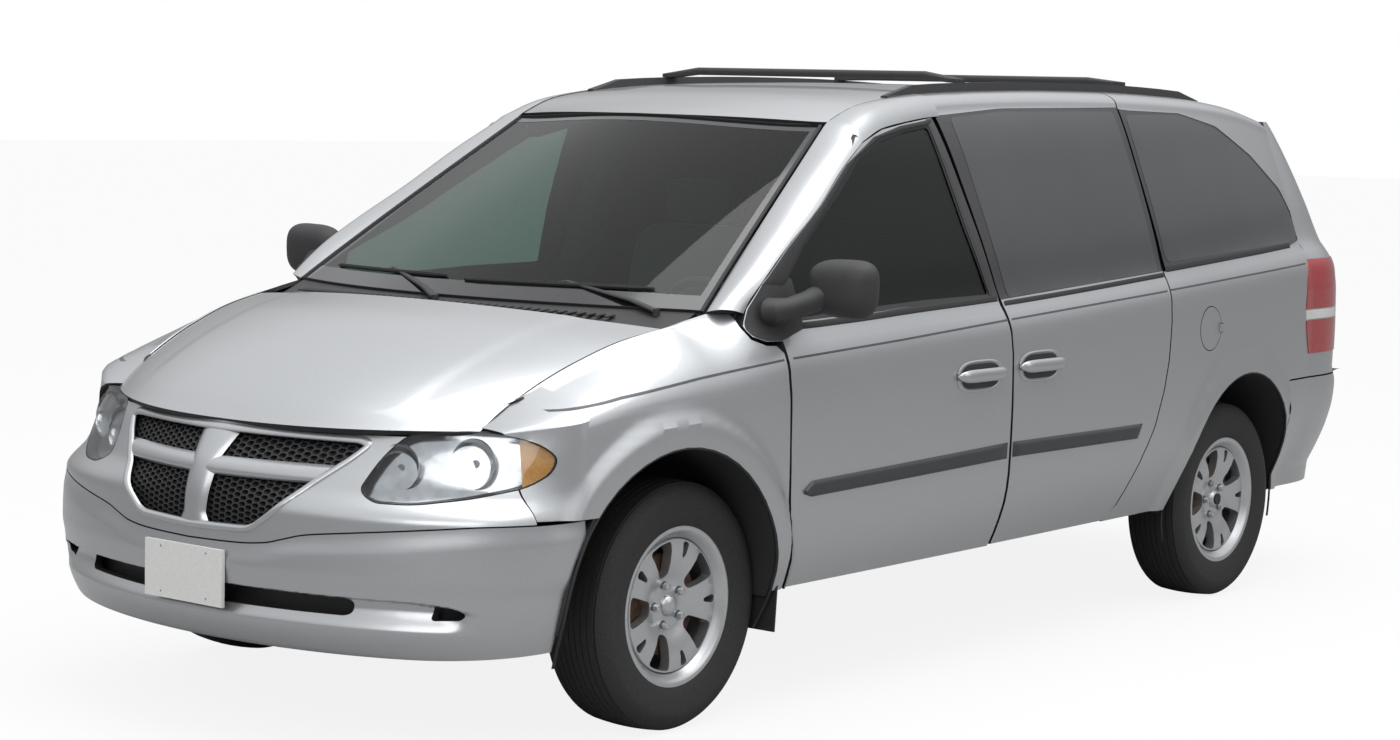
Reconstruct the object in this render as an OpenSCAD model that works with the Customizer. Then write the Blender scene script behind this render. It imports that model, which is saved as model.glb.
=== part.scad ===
// Seven-seat minivan with two hinged front doors, two sliding side doors and a liftgate.
// Millimetres. +X points forward, +Y to the vehicle's left, +Z up.
// The origin is on the ground, midway along the body, on the centre plane.

/* [Body] */
// Distance between the axles
wheelbase = 3030; // [2700:10:3300]
// Front axle to the foremost point
front_overhang = 970; // [850:5:1100]
// Rear axle to the rearmost point
rear_overhang = 1093; // [950:5:1250]
// Width over the doors
body_w = 1990; // [1650:5:2300]
// Height of the roof's highest point above the ground
roof_h = 1775; // [1550:5:2000]
// Thickness of a whole door
door_t = 78; // [60:1:95]
// Thickness of the fixed side panels
side_t = 26; // [15:1:40]
// Gap between neighbouring panels
panel_gap = 9; // [8:0.5:12]

/* [Wheels] */
// Outside diameter of a tyre
tyre_d = 686; // [620:2:720]
// Width of a tyre
tyre_w = 215; // [185:5:235]
// Diameter of the rim's bead seat
rim_d = 406; // [370:2:440]
// Distance between the front tyres' middles
track_front = 1600; // [1500:5:1640]
// Distance between the rear tyres' middles
track_rear = 1626; // [1520:5:1650]
// Pitch circle of the wheel studs
stud_pcd = 114.3; // [100:0.1:130]
// Radius of a wheel spindle
spindle_r = 20; // [16:0.5:26]
// Radial running clearance of spindles and pins
run_clear = 0.05; // [0.02:0.01:0.1]

/* [Roof rack] */
// Distance between the two side rails
rail_span = 1200; // [1100:5:1200]
// Radius of a crossbar
bar_r = 13; // [10:0.5:18]

/* [Cabin] */
// Width of a front seat
seat_w = 520; // [440:5:560]
// Steering wheel diameter
wheel_d = 390; // [340:5:420]

/* [Hidden] */

paint = "silver";
dark = [0.12, 0.12, 0.13];
pane = [0.35, 0.42, 0.42, 0.6];

// The shape functions below use a station s, measured backwards from the front axle on a body
// 3030 between axles, 970 in front and 1093 behind, 1990 wide and 1775 high. X(), Y() and Z()
// scale it to the sizes above.
x_front_axle = (wheelbase + rear_overhang - front_overhang) / 2;
x_rear_axle = x_front_axle - wheelbase;
function X(s) = s < 0 ? x_front_axle - s * front_overhang / 970
    : s < 3030 ? x_front_axle - s * wheelbase / 3030
    : x_rear_axle - (s - 3030) * rear_overhang / 1093;
function Y(y) = y * body_w / 1990;
function Z(z) = z * roof_h / 1775;
function P(p) = [X(p[0]), Y(p[1]), Z(p[2])];
z_axle = tyre_d / 2;

// Smooth monotone curve through hand-chosen [x, value] points, flat outside them.
function find(p, x, i = 0) = i >= len(p) - 2 || x < p[i + 1][0] ? i : find(p, x, i + 1);
function secant(p, i) = (p[i + 1][1] - p[i][1]) / (p[i + 1][0] - p[i][0]);
function slope(p, i) = i <= 0 ? secant(p, 0) : i >= len(p) - 1 ? secant(p, len(p) - 2)
    : secant(p, i - 1) * secant(p, i) <= 0 ? 0
    : 2 * secant(p, i - 1) * secant(p, i) / (secant(p, i - 1) + secant(p, i));
function hermite(p, i, h, t) = p[i][1] * (1 + 2 * t) * (1 - t) * (1 - t) + p[i + 1][1] * t * t * (3 - 2 * t)
    + h * slope(p, i) * t * (1 - t) * (1 - t) - h * slope(p, i + 1) * t * t * (1 - t);
function spline_at(p, x, i) = hermite(p, i, p[i + 1][0] - p[i][0], (x - p[i][0]) / (p[i + 1][0] - p[i][0]));
function curve(p, x) = x <= p[0][0] ? p[0][1] : x >= p[len(p) - 1][0] ? p[len(p) - 1][1]
    : spline_at(p, x, find(p, x));
function mix(a, b, t) = a + (b - a) * t;
function smooth(t) = t <= 0 ? 0 : t >= 1 ? 1 : t * t * (3 - 2 * t);

// Feature lines of the body side, as [station, value].
plan_half = [[-450, 945], [-200, 968], [100, 978], [500, 987], [1000, 992], [1500, 994], [2300, 992],
    [2900, 980], [3400, 958], [3600, 940], [3900, 900]];
shoulder_z = [[-620, 845], [-500, 912], [-350, 985], [-150, 1050], [60, 1088], [230, 1085],
    [400, 1062], [700, 1070], [1000, 1083], [1486, 1101], [2478, 1156], [3475, 1223], [4000, 1255]];
shoulder_y = [[-620, 705], [-350, 760], [-100, 792], [60, 815], [230, 885], [400, 938],
    [1000, 949], [2478, 947], [3100, 925], [3475, 895], [3700, 865], [4000, 830]];
crease_z = [[-620, 838], [-576, 853], [-409, 890], [-323, 904], [100, 928], [400, 946], [1477, 1001],
    [2445, 1056], [3475, 1118], [4000, 1150]];
// Inset of the side from its widest line, by depth below the crease.
lower_inset = [[0, 7], [60, 1], [200, 0], [400, 4], [480, 12], [560, 34], [640, 66], [720, 104]];
// Inset of the glass line from the shoulder, by height above it.
upper_inset = [[0, 0], [25, 12], [150, 56], [350, 134], [520, 206], [600, 252], [660, 312], [720, 420]];
// Wheel openings: centre station, centre height, half length, half height, width of the flare.
arch_front = [-95, 352, 425, 442, 98];
arch_rear = [3014, 352, 424, 452, 78];

function flare(s, z, a) = 20 * smooth((a[3] + a[4] - norm([(s - a[0]) * a[3] / a[2], z - a[1]])) / 40);
// Roundness of the nose's plan by height: 1 is an ellipse, more is more pointed.
function nose_power(z) = curve([[200, 1], [625, 1], [700, 1.3], [760, 1.38], [835, 1.38]], z);
function nose_ratio(s, f, e) = pow(max(0, 1 - pow(max(0, -450 - s) / (f - 450), 2 / e)), e / 2);
function side_base(s, z, w, zc, zs, ys) = z <= zc ? w - curve(lower_inset, zc - z)
    : z <= zs ? mix(w - 7, ys, pow((z - zc) / (zs - zc), 1.8))
    : ys - curve(upper_inset, z - zs);
// Half width of the body side at station s and height z.
function side_y(s, z) = side_base(s, z, curve(plan_half, s), curve(crease_z, s), curve(shoulder_z, s),
    curve(shoulder_y, s)) * nose_ratio(s, nose_f(z), nose_power(z)) + max(flare(s, z, arch_front), flare(s, z, arch_rear));

// How far the nose reaches ahead of the front axle, by height.
nose_profile = [[200, 800], [240, 870], [280, 922], [350, 954], [440, 960], [520, 954], [560, 948],
    [640, 940], [727, 914], [790, 872], [835, 832]];
function nose_f(z) = curve(nose_profile, z);
// Half width of the nose where it meets the side.
nose_half = [[200, 850], [280, 905], [420, 938], [600, 947], [760, 940], [835, 915]];
// Point on the nose: angle 0 is the centre line and 90 the side.
function nose(a, z, inset = 0) = let(e = nose_power(z))
    [-450 - (nose_f(z) - 450 - inset) * pow(max(0, cos(a)), e),
    (curve(nose_half, z) - inset) * sign(a) * pow(abs(sin(a)), e), z];

// How far the tail reaches behind the front axle, by height.
tail_profile = [[330, 4075], [420, 4108], [560, 4123], [700, 4118], [745, 4090], [760, 4062], [900, 4062],
    [1060, 4052], [1165, 4040], [1250, 4005], [1370, 3945], [1520, 3850], [1640, 3735], [1712, 3600]];
function tail(a, z, inset = 0) = [3560 + (curve(tail_profile, z) - 3560 - inset) * pow(max(0, cos(a)), 0.62),
    (side_y(3560, z) - inset) * sign(a) * pow(abs(sin(a)), 0.62), z];

// Roof: height of its centre line and of its edges by station.
roof_mid = [[840, 1660], [1000, 1694], [1250, 1738], [1600, 1765], [2100, 1775], [2700, 1773],
    [3200, 1755], [3450, 1732], [3600, 1712]];
roof_side = [[840, 1590], [955, 1632], [1141, 1700], [1300, 1724], [1465, 1741], [1800, 1755], [2200, 1763],
    [2500, 1764], [3000, 1753], [3300, 1731], [3503, 1697], [3600, 1676]];
// Where the body side ends and its top edge turns over to meet the roof panel.
function side_top(s) = roof_z(s, 618) - 48;
function roof_z(s, y) = mix(curve(roof_mid, s), curve(roof_side, s),
    0.7 * pow(abs(y) / 620, 2.2) + 0.3 * pow(abs(y) / 620, 6));

// Windshield: b runs from its base (0) to its top (1), y is the half width there.
ws_base = [-30, 230, 1132, 805];
ws_top = [850, 140, 1662, 612];
function ws(a, b) = [mix(ws_base[0] + ws_base[1] * a * a, ws_top[0] + ws_top[1] * a * a, b),
    a * mix(ws_base[3], ws_top[3], b),
    mix(ws_base[2] - 6 * a * a, ws_top[2] - 46 * a * a, b) + 60 * b * (1 - b)];

// Hood: t runs from the front edge (0) to the rear edge (1).
function hood_front(y) = [-838 + 252 * pow(abs(y) / 720, 2.4), 838 + 11 * pow(abs(y) / 720, 2)];
function hood_rear(y) = [-125 + 150 * pow(abs(y) / 800, 2), 1128 - 38 * pow(abs(y) / 800, 2)];
hood_rise = [[0, 0], [0.1, 0.19], [0.3, 0.47], [0.5, 0.68], [0.75, 0.88], [1, 1]];
function hood_pt(a, t) = let(y = a * mix(712, 796, t), f = hood_front(y), r = hood_rear(y))
    [mix(f[0], r[0], t), y, mix(f[1], r[1], curve(hood_rise, t))];

function total(v) = v * [for (i = v) 1];
// Polyhedron whose faces all turn outwards, whichever way round they were listed.
module solid(points, faces) {
    volume = total([for (f = faces) cross(points[f[0]], points[f[1]]) * points[f[2]]]);
    polyhedron(points, volume < 0 ? faces : [for (f = faces) [f[2], f[1], f[0]]]);
}

// Closed solid from a list of rings with equal numbers of points.
module loft(rings) {
    n = len(rings[0]);
    m = len(rings);
    points = [for (r = rings) each r];
    sides = [for (i = [0:m - 2], j = [0:n - 1]) let(a = i * n + j, b = i * n + (j + 1) % n)
        each [[a, a + n, b + n], [a, b + n, b]]];
    first = [for (j = [1:n - 2]) [0, j, j + 1]];
    last = [for (j = [1:n - 2]) [(m - 1) * n, (m - 1) * n + j + 1, (m - 1) * n + j]];
    solid([for (p = points) P(p)], concat(sides, first, last));
}

// Closed solid between an outer and an inner grid, each a list of rows.
module slab(outer, inner) {
    n = len(outer[0]);
    m = len(outer);
    k = n * m;
    function two(a, b, c, d) = [[a, b, c], [a, c, d]];
    out_faces = [for (i = [0:m - 2], j = [0:n - 2]) let(a = i * n + j) each two(a, a + n, a + n + 1, a + 1)];
    in_faces = [for (i = [0:m - 2], j = [0:n - 2]) let(a = k + i * n + j) each two(a, a + 1, a + n + 1, a + n)];
    ends = [for (i = [0:m - 2]) let(a = i * n, b = i * n + n - 1)
        each concat(two(a, k + a, k + a + n, a + n), two(b, b + n, k + b + n, k + b))];
    rims = [for (j = [0:n - 2]) let(b = (m - 1) * n + j)
        each concat(two(j, j + 1, k + j + 1, k + j), two(b, k + b, k + b + 1, b + 1))];
    solid([for (r = concat(outer, inner)) each [for (p = r) P(p)]],
        concat(out_faces, in_faces, ends, rims));
}

// Left body side between stations and heights, from depth t0 to depth t1 below its skin.
module side_slab(s0, s1, z0, z1, t0, t1, step = 120) {
    m = max(2, ceil((s1 - s0) / step));
    n = max(2, ceil((z1 - z0) / 90));
    function grid(t) = [for (j = [0:n]) [for (i = [0:m]) let(s = mix(s0, s1, i / m),
        z = mix(z0, min(z1, side_top(s)), j / n)) [s, side_y(s, z) - t, z]]];
    slab(grid(t0), grid(t1));
}

// Prism along Y over an outline of [station, height] points.
module side_cut(points, y0 = 300, y1 = 1200)
    translate([0, y1, 0]) rotate([90, 0, 0]) linear_extrude(y1 - y0)
        polygon([for (p = points) [X(p[0]), Z(p[1])]]);

// Outline of a wheel opening, grown by g.
function arch(a, g = 0, n = 40) = [for (i = [0:n - 1]) let(t = 360 * i / n)
    [a[0] + (a[2] + g) * cos(t), a[1] + (a[3] + g) * sin(t)]];

// Smoothed closed outline: each corner becomes a short arc.
function rounded(pts, r) = let(n = len(pts)) [for (i = [0:n - 1]) let(p = pts[i], a = pts[(i + n - 1) % n],
    b = pts[(i + 1) % n], u = (a - p) / norm(a - p), v = (b - p) / norm(b - p),
    d = min(r, norm(a - p) / 2.2, norm(b - p) / 2.2))
    for (t = [0, 0.5, 1]) (1 - t) * (1 - t) * (p + u * d) + 2 * t * (1 - t) * p + t * t * (p + v * d)];

// Door and window outlines, [station, height].
front_door_outline = [[388, 356], [1474, 372], [1478, 800], [1476, 1000], [1466, 1104], [1452, 1300],
    [1418, 1560], [1400, 1668], [1250, 1652], [1117, 1632], [993, 1592], [875, 1528], [666, 1392],
    [503, 1302], [357, 1208], [285, 1140], [258, 1092], [270, 1064], [310, 1050], [372, 1048], [372, 760]];
front_window = [[500, 1106], [1424, 1134], [1392, 1340], [1358, 1638], [1240, 1626], [1095, 1600],
    [955, 1548], [749, 1410], [560, 1282], [480, 1218]];
slider_outline = [[1489, 372], [2181, 372], [2236, 405], [2272, 488], [2311, 570], [2372, 666], [2419, 780],
    [2444, 880], [2456, 1010],
    [2478, 1250], [2490, 1480], [2498, 1800], [1442, 1800], [1442, 1675], [1424, 1660], [1440, 1560], [1466, 1300],
    [1482, 1104], [1489, 800]];
slider_window = [[1530, 1134], [2450, 1186], [2458, 1400], [2462, 1690], [1800, 1690], [1480, 1660],
    [1500, 1400]];
quarter_window = [[2520, 1190], [3480, 1246], [3610, 1262], [3640, 1300], [3540, 1450], [3400, 1560],
    [3240, 1640], [3060, 1680], [2540, 1690]];

/* ---------- body shell ---------- */

// Everything behind the sliding door, down to the rear bumper.
module quarter_half() {
    color(paint) resize([0, 0, 0]) difference() {
        union() {
            side_slab(2060, 3560, 372, 1740, 0, side_t);
            corner(90, 30, 0);
            roof_edge(2504, 3592);
        }
        side_cut([for (p = concat([[1900, 300], [2180, 300], [2184, 364], [2244, 400], [2281, 484], [2320, 566],
            [2381, 662], [2428, 778], [2453, 879], [2465, 1010], [2487, 1250], [2499, 1480], [2507, 1800]], [[1900, 1800]]))
            p + [panel_gap - 9, 0]]);
        side_cut(rounded(quarter_window, 40));
        side_cut(arch(arch_rear));
        side_cut([[2530, 200], [3530, 200], [3420, 352], [2640, 352]]);
        side_cut([[3400, 200], [4200, 200], [4200, 742.6], [3400, 742.6]]);
        fuel_pocket();
        tail_lamp_cut(0.6);
        rear_prism([for (p = gate_outline) p + [p[0] > 0 ? panel_gap : 0, 0]], 3598);
    }
}

// Rear corner between the side and the liftgate: a0 is the side and a1 the liftgate's edge.
module corner(a0, a1, inset) {
    zs = [740, 840, 940, 1040, 1150, 1250, 1350, 1450, 1550, 1640, 1668];
    angles = [for (i = [0:5]) mix(a0, a1, i / 5)];
    slab([for (z = zs) [for (a = angles) tail(a, z, inset)]],
        [for (z = zs) [for (a = angles) tail(a, z, inset + side_t)]]);
}

// Rounded strip from the top of the side panel to the roof panel's edge.
module roof_edge(s0, s1, depth = 0, t = 26) {
    n = ceil((s1 - s0) / 120);
    st = [for (i = [0:n]) mix(s0, s1, i / n)];
    function row(s, d) = [for (k = [0:4]) let(e = k / 4, z0 = side_top(s), y0 = side_y(s, z0), z1 = roof_z(s, 618))
        [s, mix(y0, 616.4, e) - d * cos(90 * e), mix(z0, z1, sin(90 * e)) - d * sin(90 * e)]];
    slab([for (s = st) row(s, depth + t)], [for (s = st) row(s, depth)]);
}

module fuel_pocket() translate([X(fuel_at[0]), Y(985) - 60, Z(fuel_at[1])]) {
    rotate([-90, 0, 0]) cylinder(h = 120, r = fuel_r + 5);
    translate([-fuel_r - 14, 0, -19]) cube([30, 120, 38]);
}

module tail_lamp_cut(grow) {
    pts = rounded([[720 - grow, 880 - grow], [990, 870 - grow], [990, 1180 + grow], [800, 1190 + grow],
        [712 - grow, 1160 + grow]], 30);
    translate([X(4300), 0, 0]) rotate([90, 0, 90]) linear_extrude(X(3740) - X(4300))
        polygon([for (p = pts) [Y(p[0]), Z(p[1])]]);
}

module both() { children(); mirror([0, 1, 0]) children(); }

module fender_half() {
    color(paint) resize([0, 0, 0]) difference() {
        fender_slab();
        side_cut(arch(arch_front));
        side_cut([[-700, 200], [-440, 200], [-440, 634], [-700, 634]]);
        side_cut([[-460, 200], [300, 200], [300, 352], [-460, 352]]);
        side_cut([[379, 200], [500, 200], [500, 1300], [248, 1300], [248, 1092], [260, 1058], [306, 1040],
            [343, 1039], [363, 1018], [363, 760]]);
        side_cut([[-700, 834], [-510, 834], [-510, 1000], [-700, 1000]]);
        headlamp_prism(0.6);
        hood_room();
    }
}

// Skin from the sill up to the hood's edge; its top row follows the shoulder line.
module fender_slab() {
    m = 12;
    n = 11;
    function top(s) = curve(shoulder_z, s) - 2;
    function grid(t) = [for (j = [0:n]) [for (i = [0:m]) let(s = mix(-587, 420, i / m), v = j / n,
        z = mix(354, top(s), 1 - pow(1 - v, 1.25))) [s, side_y(s, z) - t, z - t * 0.7 * smooth(v * 2 - 1)]]];
    slab(grid(0), grid(side_t * 0.7));
}

module fenders() both() fender_half();

// Prism seen along the front corner, for what wraps round it: w runs across that view.
module corner_cut(pts) rotate([0, 0, 45]) translate([-3000, 0, 0]) rotate([90, 0, 90])
    linear_extrude(8000) polygon([for (p = pts) [p[0] + corner_shift, Z(p[1])]]);
corner_shift = -x_front_axle * sin(45);
headlamp_outline = [[-226, 694], [-165, 778], [-96, 838], [60, 850], [150, 846], [235, 826], [280, 792],
    [262, 752], [200, 716], [60, 688], [-90, 668], [-190, 668]];
function grown(pts, g) = let(c = [20, 760]) [for (p = pts) p + g * (p - c) / norm(p - c)];
module headlamp_prism(grow) corner_cut(rounded(grown(headlamp_outline, grow), 40));

// Shell of the nose between two heights given by angle, from depth t0 to t1.
module nose_shell(lows, highs, a0, a1, t0, t1, rows = 5) {
    n = a0 < 0 ? 28 : 14;
    function grid(t) = [for (j = [0:rows]) [for (i = [0:n]) let(a = mix(a0, a1, i / n),
        z = mix(curve(lows, abs(a)), curve(highs, abs(a)), j / rows)) nose(a, z, t)]];
    slab(grid(t1), grid(t0));
}

// Height of the joint between fascia and bumper, by angle.
fascia_seam = [[0, 534], [11, 538], [16.5, 546], [20, 560], [24, 576], [31, 589], [40, 602], [50, 614],
    [60, 623], [77, 628], [90, 632]];
fascia_top = [[0, 834], [20, 830], [40, 828], [60, 842], [90, 850]];
function shifted(p, d) = [for (q = p) [q[0], q[1] + d]];

module front_fascia() color(paint) resize([0, 0, 0]) difference() {
    nose_shell(shifted(fascia_seam, 0.4), fascia_top, -90, 90, 0, 30, 6);
    both() headlamp_prism(0.6);
    hood_room();
    grille_prism(0);
    both() side_cut([[-587.6, 500], [-400, 500], [-400, 900], [-587.6, 900]]);
}

grille_half = [[0, 566], [215, 572], [285, 622], [350, 690], [440, 770], [470, 806], [440, 818], [0, 822]];
module grille_prism(grow) translate([X(-600), 0, 0]) rotate([90, 0, 90])
    linear_extrude(X(-1200) - X(-600)) both2() polygon([for (p = grille_half)
        [Y(p[0]) + (p[0] > 0 ? grow : 0), Z(p[1]) + (p[1] > 700 ? grow : -grow)]]);
module both2() { children(); mirror([1, 0]) children(); }

// Backing mesh plate with the cross bars standing in front of it.
module grille() color(dark) resize([0, 0, 0]) union() {
    intersection() {
        grille_prism(14);
        nose_shell([[0, 550], [90, 550]], [[0, 815], [40, 812], [90, 800]], -90, 90, 38, 50, 6);
    }
}

module front_bumper() color(paint) resize([0, 0, 0]) difference() {
    nose_shell([[0, 262], [45, 262], [90, 290]], shifted(fascia_seam, -0.4), -90, 90, 0, 34, 5);
    both() side_cut([[-505, 200], [-300, 200], [-300, 700], [-472, 700], [-480, 560]]);
    intake_prism([[0, 330], [300, 335], [330, 365], [300, 395], [0, 400]]);
    both() intake_prism([[520, 352], [640, 360], [650, 390], [600, 400], [520, 395]]);
}
module intake_prism(pts) translate([X(-500), 0, 0]) rotate([90, 0, 90])
    linear_extrude(X(-1200) - X(-500)) both2() polygon([for (p = pts) [Y(p[0]), Z(p[1])]]);

// Number plate on its flat holder.
plate_holes = [178, 121];
module front_plate() color("white") difference() {
    box(-970, -960, -152, 152, 364, 516);
    for (y = [-0.5, 0.5], z = [-0.5, 0.5]) translate([X(-950), y * plate_holes[0], Z(440) + z * plate_holes[1]])
        rotate([0, 90, 0]) cylinder(h = 40, r = 3.5, $fn = 24);
}

module rear_bumper() color(paint) resize([0, 0, 0]) difference() {
    rear_bumper_shell();
    both() side_cut(arch(arch_rear, 4));
}
module rear_bumper_shell() {
    zs = [335, 420, 540, 660, 700, 742];
    function side_end(z, d, e) = [3400, e * (side_y(3400, z) - d), z];
    function row(z, d) = concat([side_end(z, d, -1)], [for (i = [-10:10]) tail(i * 9, z, d)], [side_end(z, d, 1)]);
    slab([for (z = zs) row(z, 36)], [for (z = zs) row(z, 0)]);
}

module box(s0, s1, y0, y1, z0, z1)
    translate([X(s1), Y(y0), Z(z0)]) cube([X(s0) - X(s1), Y(y1) - Y(y0), Z(z1) - Z(z0)]);

module roof_panel() {
    rows = 18;
    cols = 10;
    function at(i, j, t) = let(v = j / rows, a = sin(mix(-90, 90, i / cols)), y = a * 616,
        s = mix(ws_top[0] + 0.5 + ws_top[1] * a * a + 9 * pow(a, 8), 3592, v)) [s, y, roof_z(s, y) - t];
    color(paint) {
        slab([for (j = [0:rows]) [for (i = [0:cols]) at(i, j, 30)]],
            [for (j = [0:rows]) [for (i = [0:cols]) at(i, j, 0)]]);
        both() for (y = gate_hinge_y) gate_lug(y);
    }
}

// Liftgate hinge: a pin between two lugs on the roof's rear edge.
gate_axis = [3600, 1717];
gate_hinge_y = [430];
gate_pin_r = 6;
module gate_lug(y) {
    both_ends = [y - 32, y + 20];
    for (e = both_ends) box(3556, 3607, e, e + 12, roof_z(3592, y) - 24, 1724);
    along_y(gate_axis, y - 32, y + 32) circle(r = gate_pin_r, $fn = 48);
}
// Prism along Y over a small shape drawn round the point [station, height].
module along_y(at, y0, y1) translate([X(at[0]), Y(y0), Z(at[1])]) rotate([-90, 0, 0])
    linear_extrude(Y(y1) - Y(y0)) children();

module windshield() {
    rows = 6;
    cols = 10;
    function at(i, j, t) = ws(mix(-0.9993, 0.9993, i / cols), mix(0.001, 0.992, j / rows)) - [-0.5 * t, 0, 0.86 * t];
    color(pane) slab([for (j = [0:rows]) [for (i = [0:cols]) at(i, j, 12)]],
        [for (j = [0:rows]) [for (i = [0:cols]) at(i, j, 2)]]);
}

module floor_pan() color([0.3, 0.3, 0.31]) {
    difference() {
        union() {
            box(425, 3500, -800, 800, 372, 398);
            box(3500, 3900, -660, 660, 372, 398);
        }
        both() box(2560, 3500, 655, 900, 300, 500);
    }
    both() box(425, 2556, 735, 800, 350, 470);
    // Firewall, front rails, radiator support and the beams behind the bumpers.
    box(400, 425, -780, 780, 350, 740);
    both() box(-800, 400, 440, 500, 372, 470);
    both() box(-560, 400, 470, 500, 470, 806);
    box(-600, -560, -500, 500, 372, 806);
    nose_shell([[0, 420], [90, 420]], [[0, 490], [90, 490]], -48, 48, 38, 110, 1);
    // Shelf over each front wheel, up to the fender.
    both() side_slab(-430, 330, 806, 830, side_t * 0.7 + 11, 480);
    box(3900, 3960, -600, 600, 372, 700);
    both() box(3960, 4020, 500, 550, 440, 520);
    both() hood_bracket();
}

// Pillars, roof rails and the visible windshield pillar, on each side.
module side_frame() both() {
    color(dark) {
        box(425, 500, 780, 838, 470.3, 1036);
        side_slab(1436, 1530, 470.3, 1720, door_t + 12, door_t + 110);
        side_slab(2440, 2540, 470.3, 1720, door_t + 12, door_t + 110);
        roof_rail();
        side_slab(2506, 2665, 900, 1050, side_t + 11, door_t + 78);
        hinge_arms();
    }
    color(paint) fuel_cup();
    color(paint) a_pillar();
}

module roof_rail() loft([for (i = [0:12]) let(s = mix(1050, 3450, i / 12), z = side_top(s),
    y = side_y(s, z) - door_t - 12) [[s, y, z], [s, y, z - 50], [s, y - 50, z - 50], [s, y - 50, z]]]);

door_front_line = [[1040, 300], [1092, 258], [1140, 285], [1208, 357], [1302, 503], [1392, 666], [1528, 875],
    [1592, 993]];
door_top_line = [[993, 1592], [1117, 1632], [1250, 1652], [1398, 1668], [1440, 1670]];
module a_pillar() {
    lower = [for (i = [0:8]) let(b = i / 8, k = 0.25 + 0.75 * smooth(2 * b), p = ws(1, b), z = p[2], s = curve(door_front_line, z) - 1.6 * panel_gap,
        q = [s, side_y(s, z), z], m = (p + q) / 2 + [-14, 12, 6])
        [p, m, q, q - [0, 88, 0], p + k * [30, -14 * k, -40], p + k * [10, 0.5, -14]]];
    upper = [for (i = [0:5]) let(s = mix(ws(1, 1)[0] + 4, 1434, i / 5), z = curve(door_top_line, s) + panel_gap,
        p = [s, 616.5, roof_z(s, 616)], q = [s, side_y(s, z), z], m = (p + q) / 2 + [0, 12, 14])
        [p, m, q, q - [0, 88, 0], p - [0, 0, 40], p - [0, 0, 20]]];
    loft(concat(lower, upper));
}

module quarter_panels() both() quarter_half();

/* ---------- doors ---------- */

door_hinge = [440, 966];
door_hinge_z = [520, 900];
door_pin_r = 7;
function door_hinge_at(z) = [X(door_hinge[0]), Y(door_hinge[1]), Z(z)];

module front_door() {
    difference() {
        union() {
            color(paint) resize([0, 0, 0]) difference() {
                intersection() {
                    side_slab(220, 1490, 350, 1700, 0, door_t, 110);
                    side_cut(rounded(front_door_outline, 30));
                }
                side_cut(rounded(front_window, 40));
                for (z = door_hinge_z) hinge_pocket(z);
            }
            for (z = door_hinge_z) translate(door_hinge_at(z) - [0, 0, 22]) color(dark) {
                cylinder(h = 44, r = 15);
                translate([-45, -15, 0]) cube([45, 22, 44]);
            }
        }
        for (z = door_hinge_z) translate(door_hinge_at(z) - [0, 0, 40])
            cylinder(h = 80, r = door_pin_r + run_clear);
    }
}
module hinge_pocket(z) translate([X(door_hinge[0]) - 30, Y(door_hinge[1]) - 200, Z(z) - 44]) cube([160, 207, 88]);

// Body half of a door hinge: a pin held by two arms from the pillar.
module hinge_arms() for (z = door_hinge_z) translate(door_hinge_at(z)) {
    translate([0, 0, -36]) cylinder(h = 72, r = door_pin_r);
    for (e = [-36, 24]) translate([-10, -118, e]) cube([14, 118, 12]);
}

module left_front_door() front_door();
module right_front_door() mirror([0, 1, 0]) front_door();

module pane_in(outline, s0, s1, z0, z1) color(pane) resize([0, 0, 0]) intersection() {
    side_slab(s0, s1, z0, z1, 8, 13, 110);
    side_cut(rounded(outline, 40));
}
function shrunk(pts, c) = [for (p = pts) p + 0.5 * (c - p) / norm(c - p)];
module door_glass() pane_in(shrunk(front_window, [1000, 1350]), 460, 1440, 1090, 1660);
module left_door_glass() door_glass();
module right_door_glass() mirror([0, 1, 0]) door_glass();
module rear_side_glass() both() {
    pane_in(shrunk(slider_window, [2000, 1400]), 1470, 2480, 1120, 1700);
    pane_in(shrunk(quarter_window, [3000, 1400]), 2510, 3650, 1180, 1700);
}

module sliding_door() color(paint) resize([0, 0, 0]) difference() {
    intersection() {
        union() {
            side_slab(1410, 2510, 360, 1740, 0, door_t);
            roof_edge(1443.5, 2496, 0, 40);
        }
        side_cut(slider_outline);
    }
    side_cut(rounded(slider_window, 40));
}
module left_sliding_door() sliding_door();
module right_sliding_door() mirror([0, 1, 0]) sliding_door();

// Mirror housing on its arm, rising from the door's front corner.
module mirror_half() color(dark) resize([0, 0, 0]) difference() {
    mirror_body();
    side_slab(220, 1490, 350, 1700, -0.3, door_t, 110);
}
module mirror_body() {
    head = [X(505), Y(1075), Z(1208)];
    hull() {
        translate(head + [10, 0, 0]) scale([0.5, 1, 0.72]) sphere(r = 98, $fn = 28);
        translate(head - [48, 0, 0]) scale([0.2, 0.95, 0.7]) sphere(r = 98, $fn = 28);
    }
    hull() {
        translate(head + [30, -60, -30]) sphere(r = 30, $fn = 20);
        translate([X(360), Y(side_y(360, 1160)), Z(1150)]) sphere(r = 30, $fn = 20);
    }
}
module left_mirror() mirror_half();
module right_mirror() mirror([0, 1, 0]) mirror_half();

module hood() difference() {
    union() {
        color(paint) hood_skin();
        both() translate(hood_axis) color(dark) {
            along(22) cylinder(h = 44, r = 10);
            translate([0, -22, -10]) cube([90, 44, 24]);
        }
    }
    both() translate(hood_axis) along(30) cylinder(h = 60, r = hood_pin_r + run_clear);
}
module along(half) translate([0, half, 0]) rotate([90, 0, 0]) children();
hood_pin_r = 6;
hood_axis = [X(30), Y(695), Z(1062)];
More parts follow.
